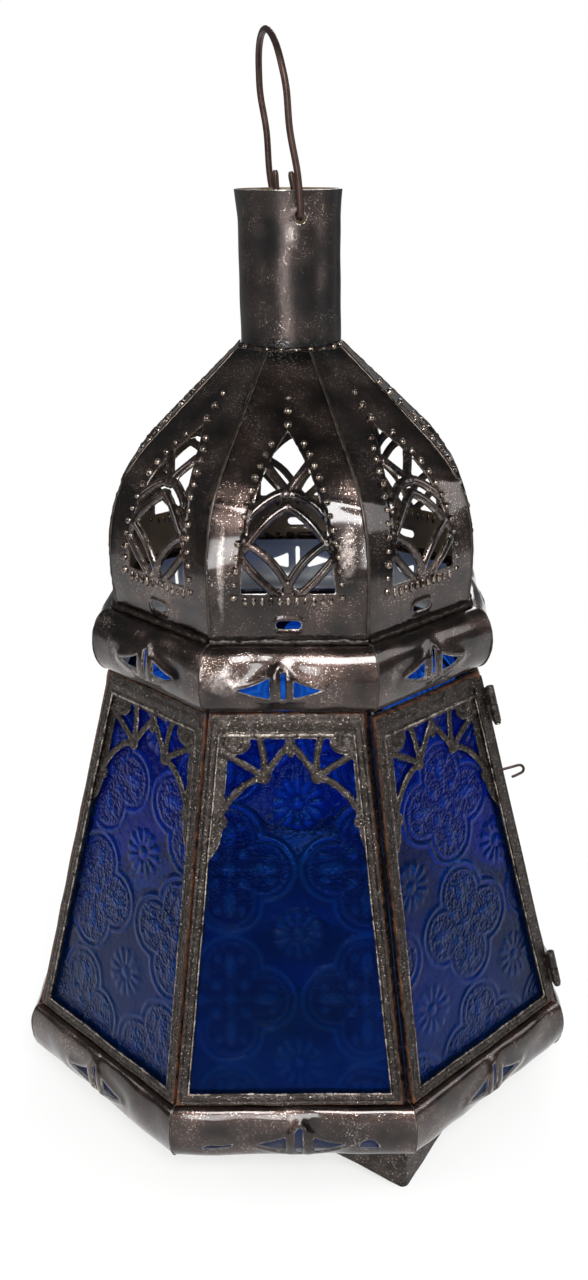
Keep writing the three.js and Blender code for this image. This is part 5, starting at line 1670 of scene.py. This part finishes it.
rib = [on_corner(a - 0.35, h + Z_DOME + SEAT) for a, h in dome_line]
ribs = bead("dome_ribs", [rib], 0.75, 0.9, 1.1, SIDES, solder, "dome_seams")
ring = [(19.4 * math.cos(a), 19.4 * math.sin(a), Z_NECK + 0.3) for a in np.linspace(0, math.tau, 80)]
collar = bead("tube_collar", [ring], 0.9, 1.6, 1.0, 1, burnt_flux)
seat_half = 69.6 * TAN_HALF
seat_line = [(x, -69.9, Z_DOME + 0.9) for x in np.linspace(-seat_half, seat_half, 40)]
seat_bead = bead("dome_foot_bead", [seat_line], 1.7, 2.4, 1.1, SIDES, burnt_flux)
mitres = []
for section, low in ((base_section, Z_BASE), (shoulder_section, Z_SHOULDER)):
    mitres.append([on_corner(a - 0.15, low + h) for _, a, h in list(zip(*section))[1:-1]])
mitre_lines = bead("band_mitres", mitres, 0.35, 0.5, 1.0, SIDES, solder)
print("bead faces", [len(made.polygons) for made in (ribs, collar, seat_bead, mitre_lines)])

# %% [markdown]
# ## Punched dots
# A blunt punch from the inside raises a row of dots along each arch. They repeat at one pitch along a
# line, which is work for Geometry Nodes: resample the guide, stand a small dome on each point along
# the sheet's outward direction and vary its size a little from a fixed seed.
# %% Tree for dots
dot_tree, start, end = new_tree("dots along a line", [
    ("Pitch", "NodeSocketFloat"), ("Radius", "NodeSocketFloat"), ("Variation", "NodeSocketFloat"),
    ("Seed", "NodeSocketInt"), ("Shape", "NodeSocketVector"), ("Copies", "NodeSocketInt"),
    ("Material", "NodeSocketMaterial")])
lines = add(dot_tree, "GeometryNodeMeshToCurve", {"Mesh": start.outputs["Geometry"]})
even = add(dot_tree, "GeometryNodeResampleCurve",
           {"Curve": lines.outputs[0], "Length": start.outputs["Pitch"]}, mode="LENGTH")
outward = add(dot_tree, "GeometryNodeInputNamedAttribute", {"Name": "outward"}, data_type="FLOAT_VECTOR")
facing = add(dot_tree, "FunctionNodeAlignRotationToVector", {"Vector": outward.outputs[0]}, axis="Z")
dot = add(dot_tree, "GeometryNodeMeshUVSphere",
          {"Segments": 8, "Rings": 6, "Radius": start.outputs["Radius"]})
flat = add(dot_tree, "GeometryNodeTransform", {"Geometry": dot.outputs[0], "Scale": start.outputs["Shape"]})
share = add(dot_tree, "FunctionNodeRandomValue", {2: -0.5, 3: 0.5, "Seed": start.outputs["Seed"]},
            data_type="FLOAT")
scale = add(dot_tree, "ShaderNodeMath", {0: share.outputs[1], 1: start.outputs["Variation"]},
            operation="MULTIPLY")
scale = add(dot_tree, "ShaderNodeMath", {0: scale.outputs[0], 1: 1.0}, operation="ADD")
placed = add(dot_tree, "GeometryNodeInstanceOnPoints",
             {"Points": even.outputs[0], "Instance": flat.outputs[0], "Rotation": facing.outputs[0],
              "Scale": scale.outputs[0]})
row = add(dot_tree, "GeometryNodeRealizeInstances", {"Geometry": placed.outputs[0]})
dots = round_axis(dot_tree, row.outputs[0], start.outputs["Copies"])
smooth = add(dot_tree, "GeometryNodeSetShadeSmooth", {"Geometry": dots})
coated = add(dot_tree, "GeometryNodeSetMaterial",
             {"Geometry": smooth.outputs[0], "Material": start.outputs["Material"]})
dot_tree.links.new(coated.outputs[0], end.inputs[0])
print("dot tree", len(dot_tree.nodes), "nodes")

# %% [markdown]
# The tops of punched dots and of blobs have lost their lacquer and shine in small facets, while their
# feet are still dark; their pale colour is partly a painted highlight. A noise with a hard step gives
# both at this size.
# %% Rubbed tinplate
rubbed_and_glinting_tin, tree, shader, where = new_material("rubbed tinplate with painted glints")
mottle = add(tree, "ShaderNodeTexNoise", {"Vector": where, "Scale": 700.0, "Detail": 3.0, "Roughness": 0.6})
share = add(tree, "ShaderNodeMapRange", {"Value": mottle.outputs[0], "From Min": 0.4, "From Max": 0.62})
colour = add(tree, "ShaderNodeMix", {0: share.outputs[0], 6: linear("211917"), 7: linear("a29488")},
             data_type="RGBA")
tree.links.new(colour.outputs[2], shader.inputs["Base Color"])
shader.inputs["Metallic"].default_value = 0.9
shader.inputs["Roughness"].default_value = 0.25
print("finish", rubbed_and_glinting_tin.name)

# %% [markdown]
# The dots stand in a row round each arch and up over its point. Below its sill the chisel has torn a
# row of small ridges, and round the tube's foot the solder has left blobs.
# %% Dots, tears and blobs
dot_rows = []
for side in (-1, 1):
    row_points = [(side * 19.6, ARCH_SILL - 1.5)]
    row_points += [(x + side * (2.5 if y < ARCH_SPRING else 2.2), y + (0 if y < ARCH_SPRING else 0.9))
                   for x, y in arch_side(side)[1:-2]]
    dot_rows.append(row_points)
dot_rows.append([(0.0, ARCH_APEX + 1.8), (0.0, ARCH_APEX + 10.2)])
tear_row = [(x, ARCH_SILL - 3.0) for x in np.linspace(-15.5, 15.5, 12)]


def on_gore(rows):
    """Guide lines on the gore and the sheet's outward direction at each of their points."""
    flat_points = np.array([p for row_points in rows for p in row_points])
    sunk = laid(gore_surface, flat_points[:, 0], flat_points[:, 1], -0.1)
    outwards = laid(gore_surface, flat_points[:, 0], flat_points[:, 1], 0.9) - sunk
    ends = np.cumsum([len(row_points) for row_points in rows])[:-1]
    return np.split(sunk, ends), outwards


def dots_along(name, guides, outwards, pitch, radius, variation, seed, shape, copies, slot):
    """Stands dots along guide lines as a piece of the root body; pitch and radius are in millimetres."""
    values = {"Pitch": pitch * MM, "Radius": radius * MM, "Variation": variation, "Seed": seed,
              "Shape": shape, "Copies": copies, "Material": rubbed_and_glinting_tin}
    made = grown(name, dot_tree, guides, values, outwards)
    add_piece(name, made, "root", rubbed_and_glinting_tin, slot)
    return made


dots = dots_along("arch_dots", *on_gore(dot_rows), 4.9, 1.5, 0.5, 4, (1.0, 1.0, 0.95), SIDES, "lacquered_tin")
tears = dots_along("sill_tears", *on_gore([tear_row]), 3.1, 1.15, 0.3, 6, (0.8, 1.9, 0.8), SIDES,
                   "lacquered_tin")
blob_turns = np.linspace(0, math.tau, 64)
blob_ring = [(20.0 * math.cos(a), 20.0 * math.sin(a), Z_NECK + 0.4) for a in blob_turns]
blob_ways = [(math.cos(a), math.sin(a), 0.4) for a in blob_turns]
blobs = dots_along("collar_blobs", [blob_ring], blob_ways, 5.5, 0.9, 1.2, 9, (1.0, 1.0, 0.8), 1, "solder")
print("dot faces", [len(made.polygons) for made in (dots, tears, blobs)])

# %% [markdown]
# ## Box of the dressed lantern
# The box of everything that the scene shows, the floor aside, is printed at the end.
# The dressed lantern has to stay in the box of the CAD model.
# %% Boxes and finish
low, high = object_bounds()
print("box", [round(x, 4) for x in low], [round(x, 4) for x in high])
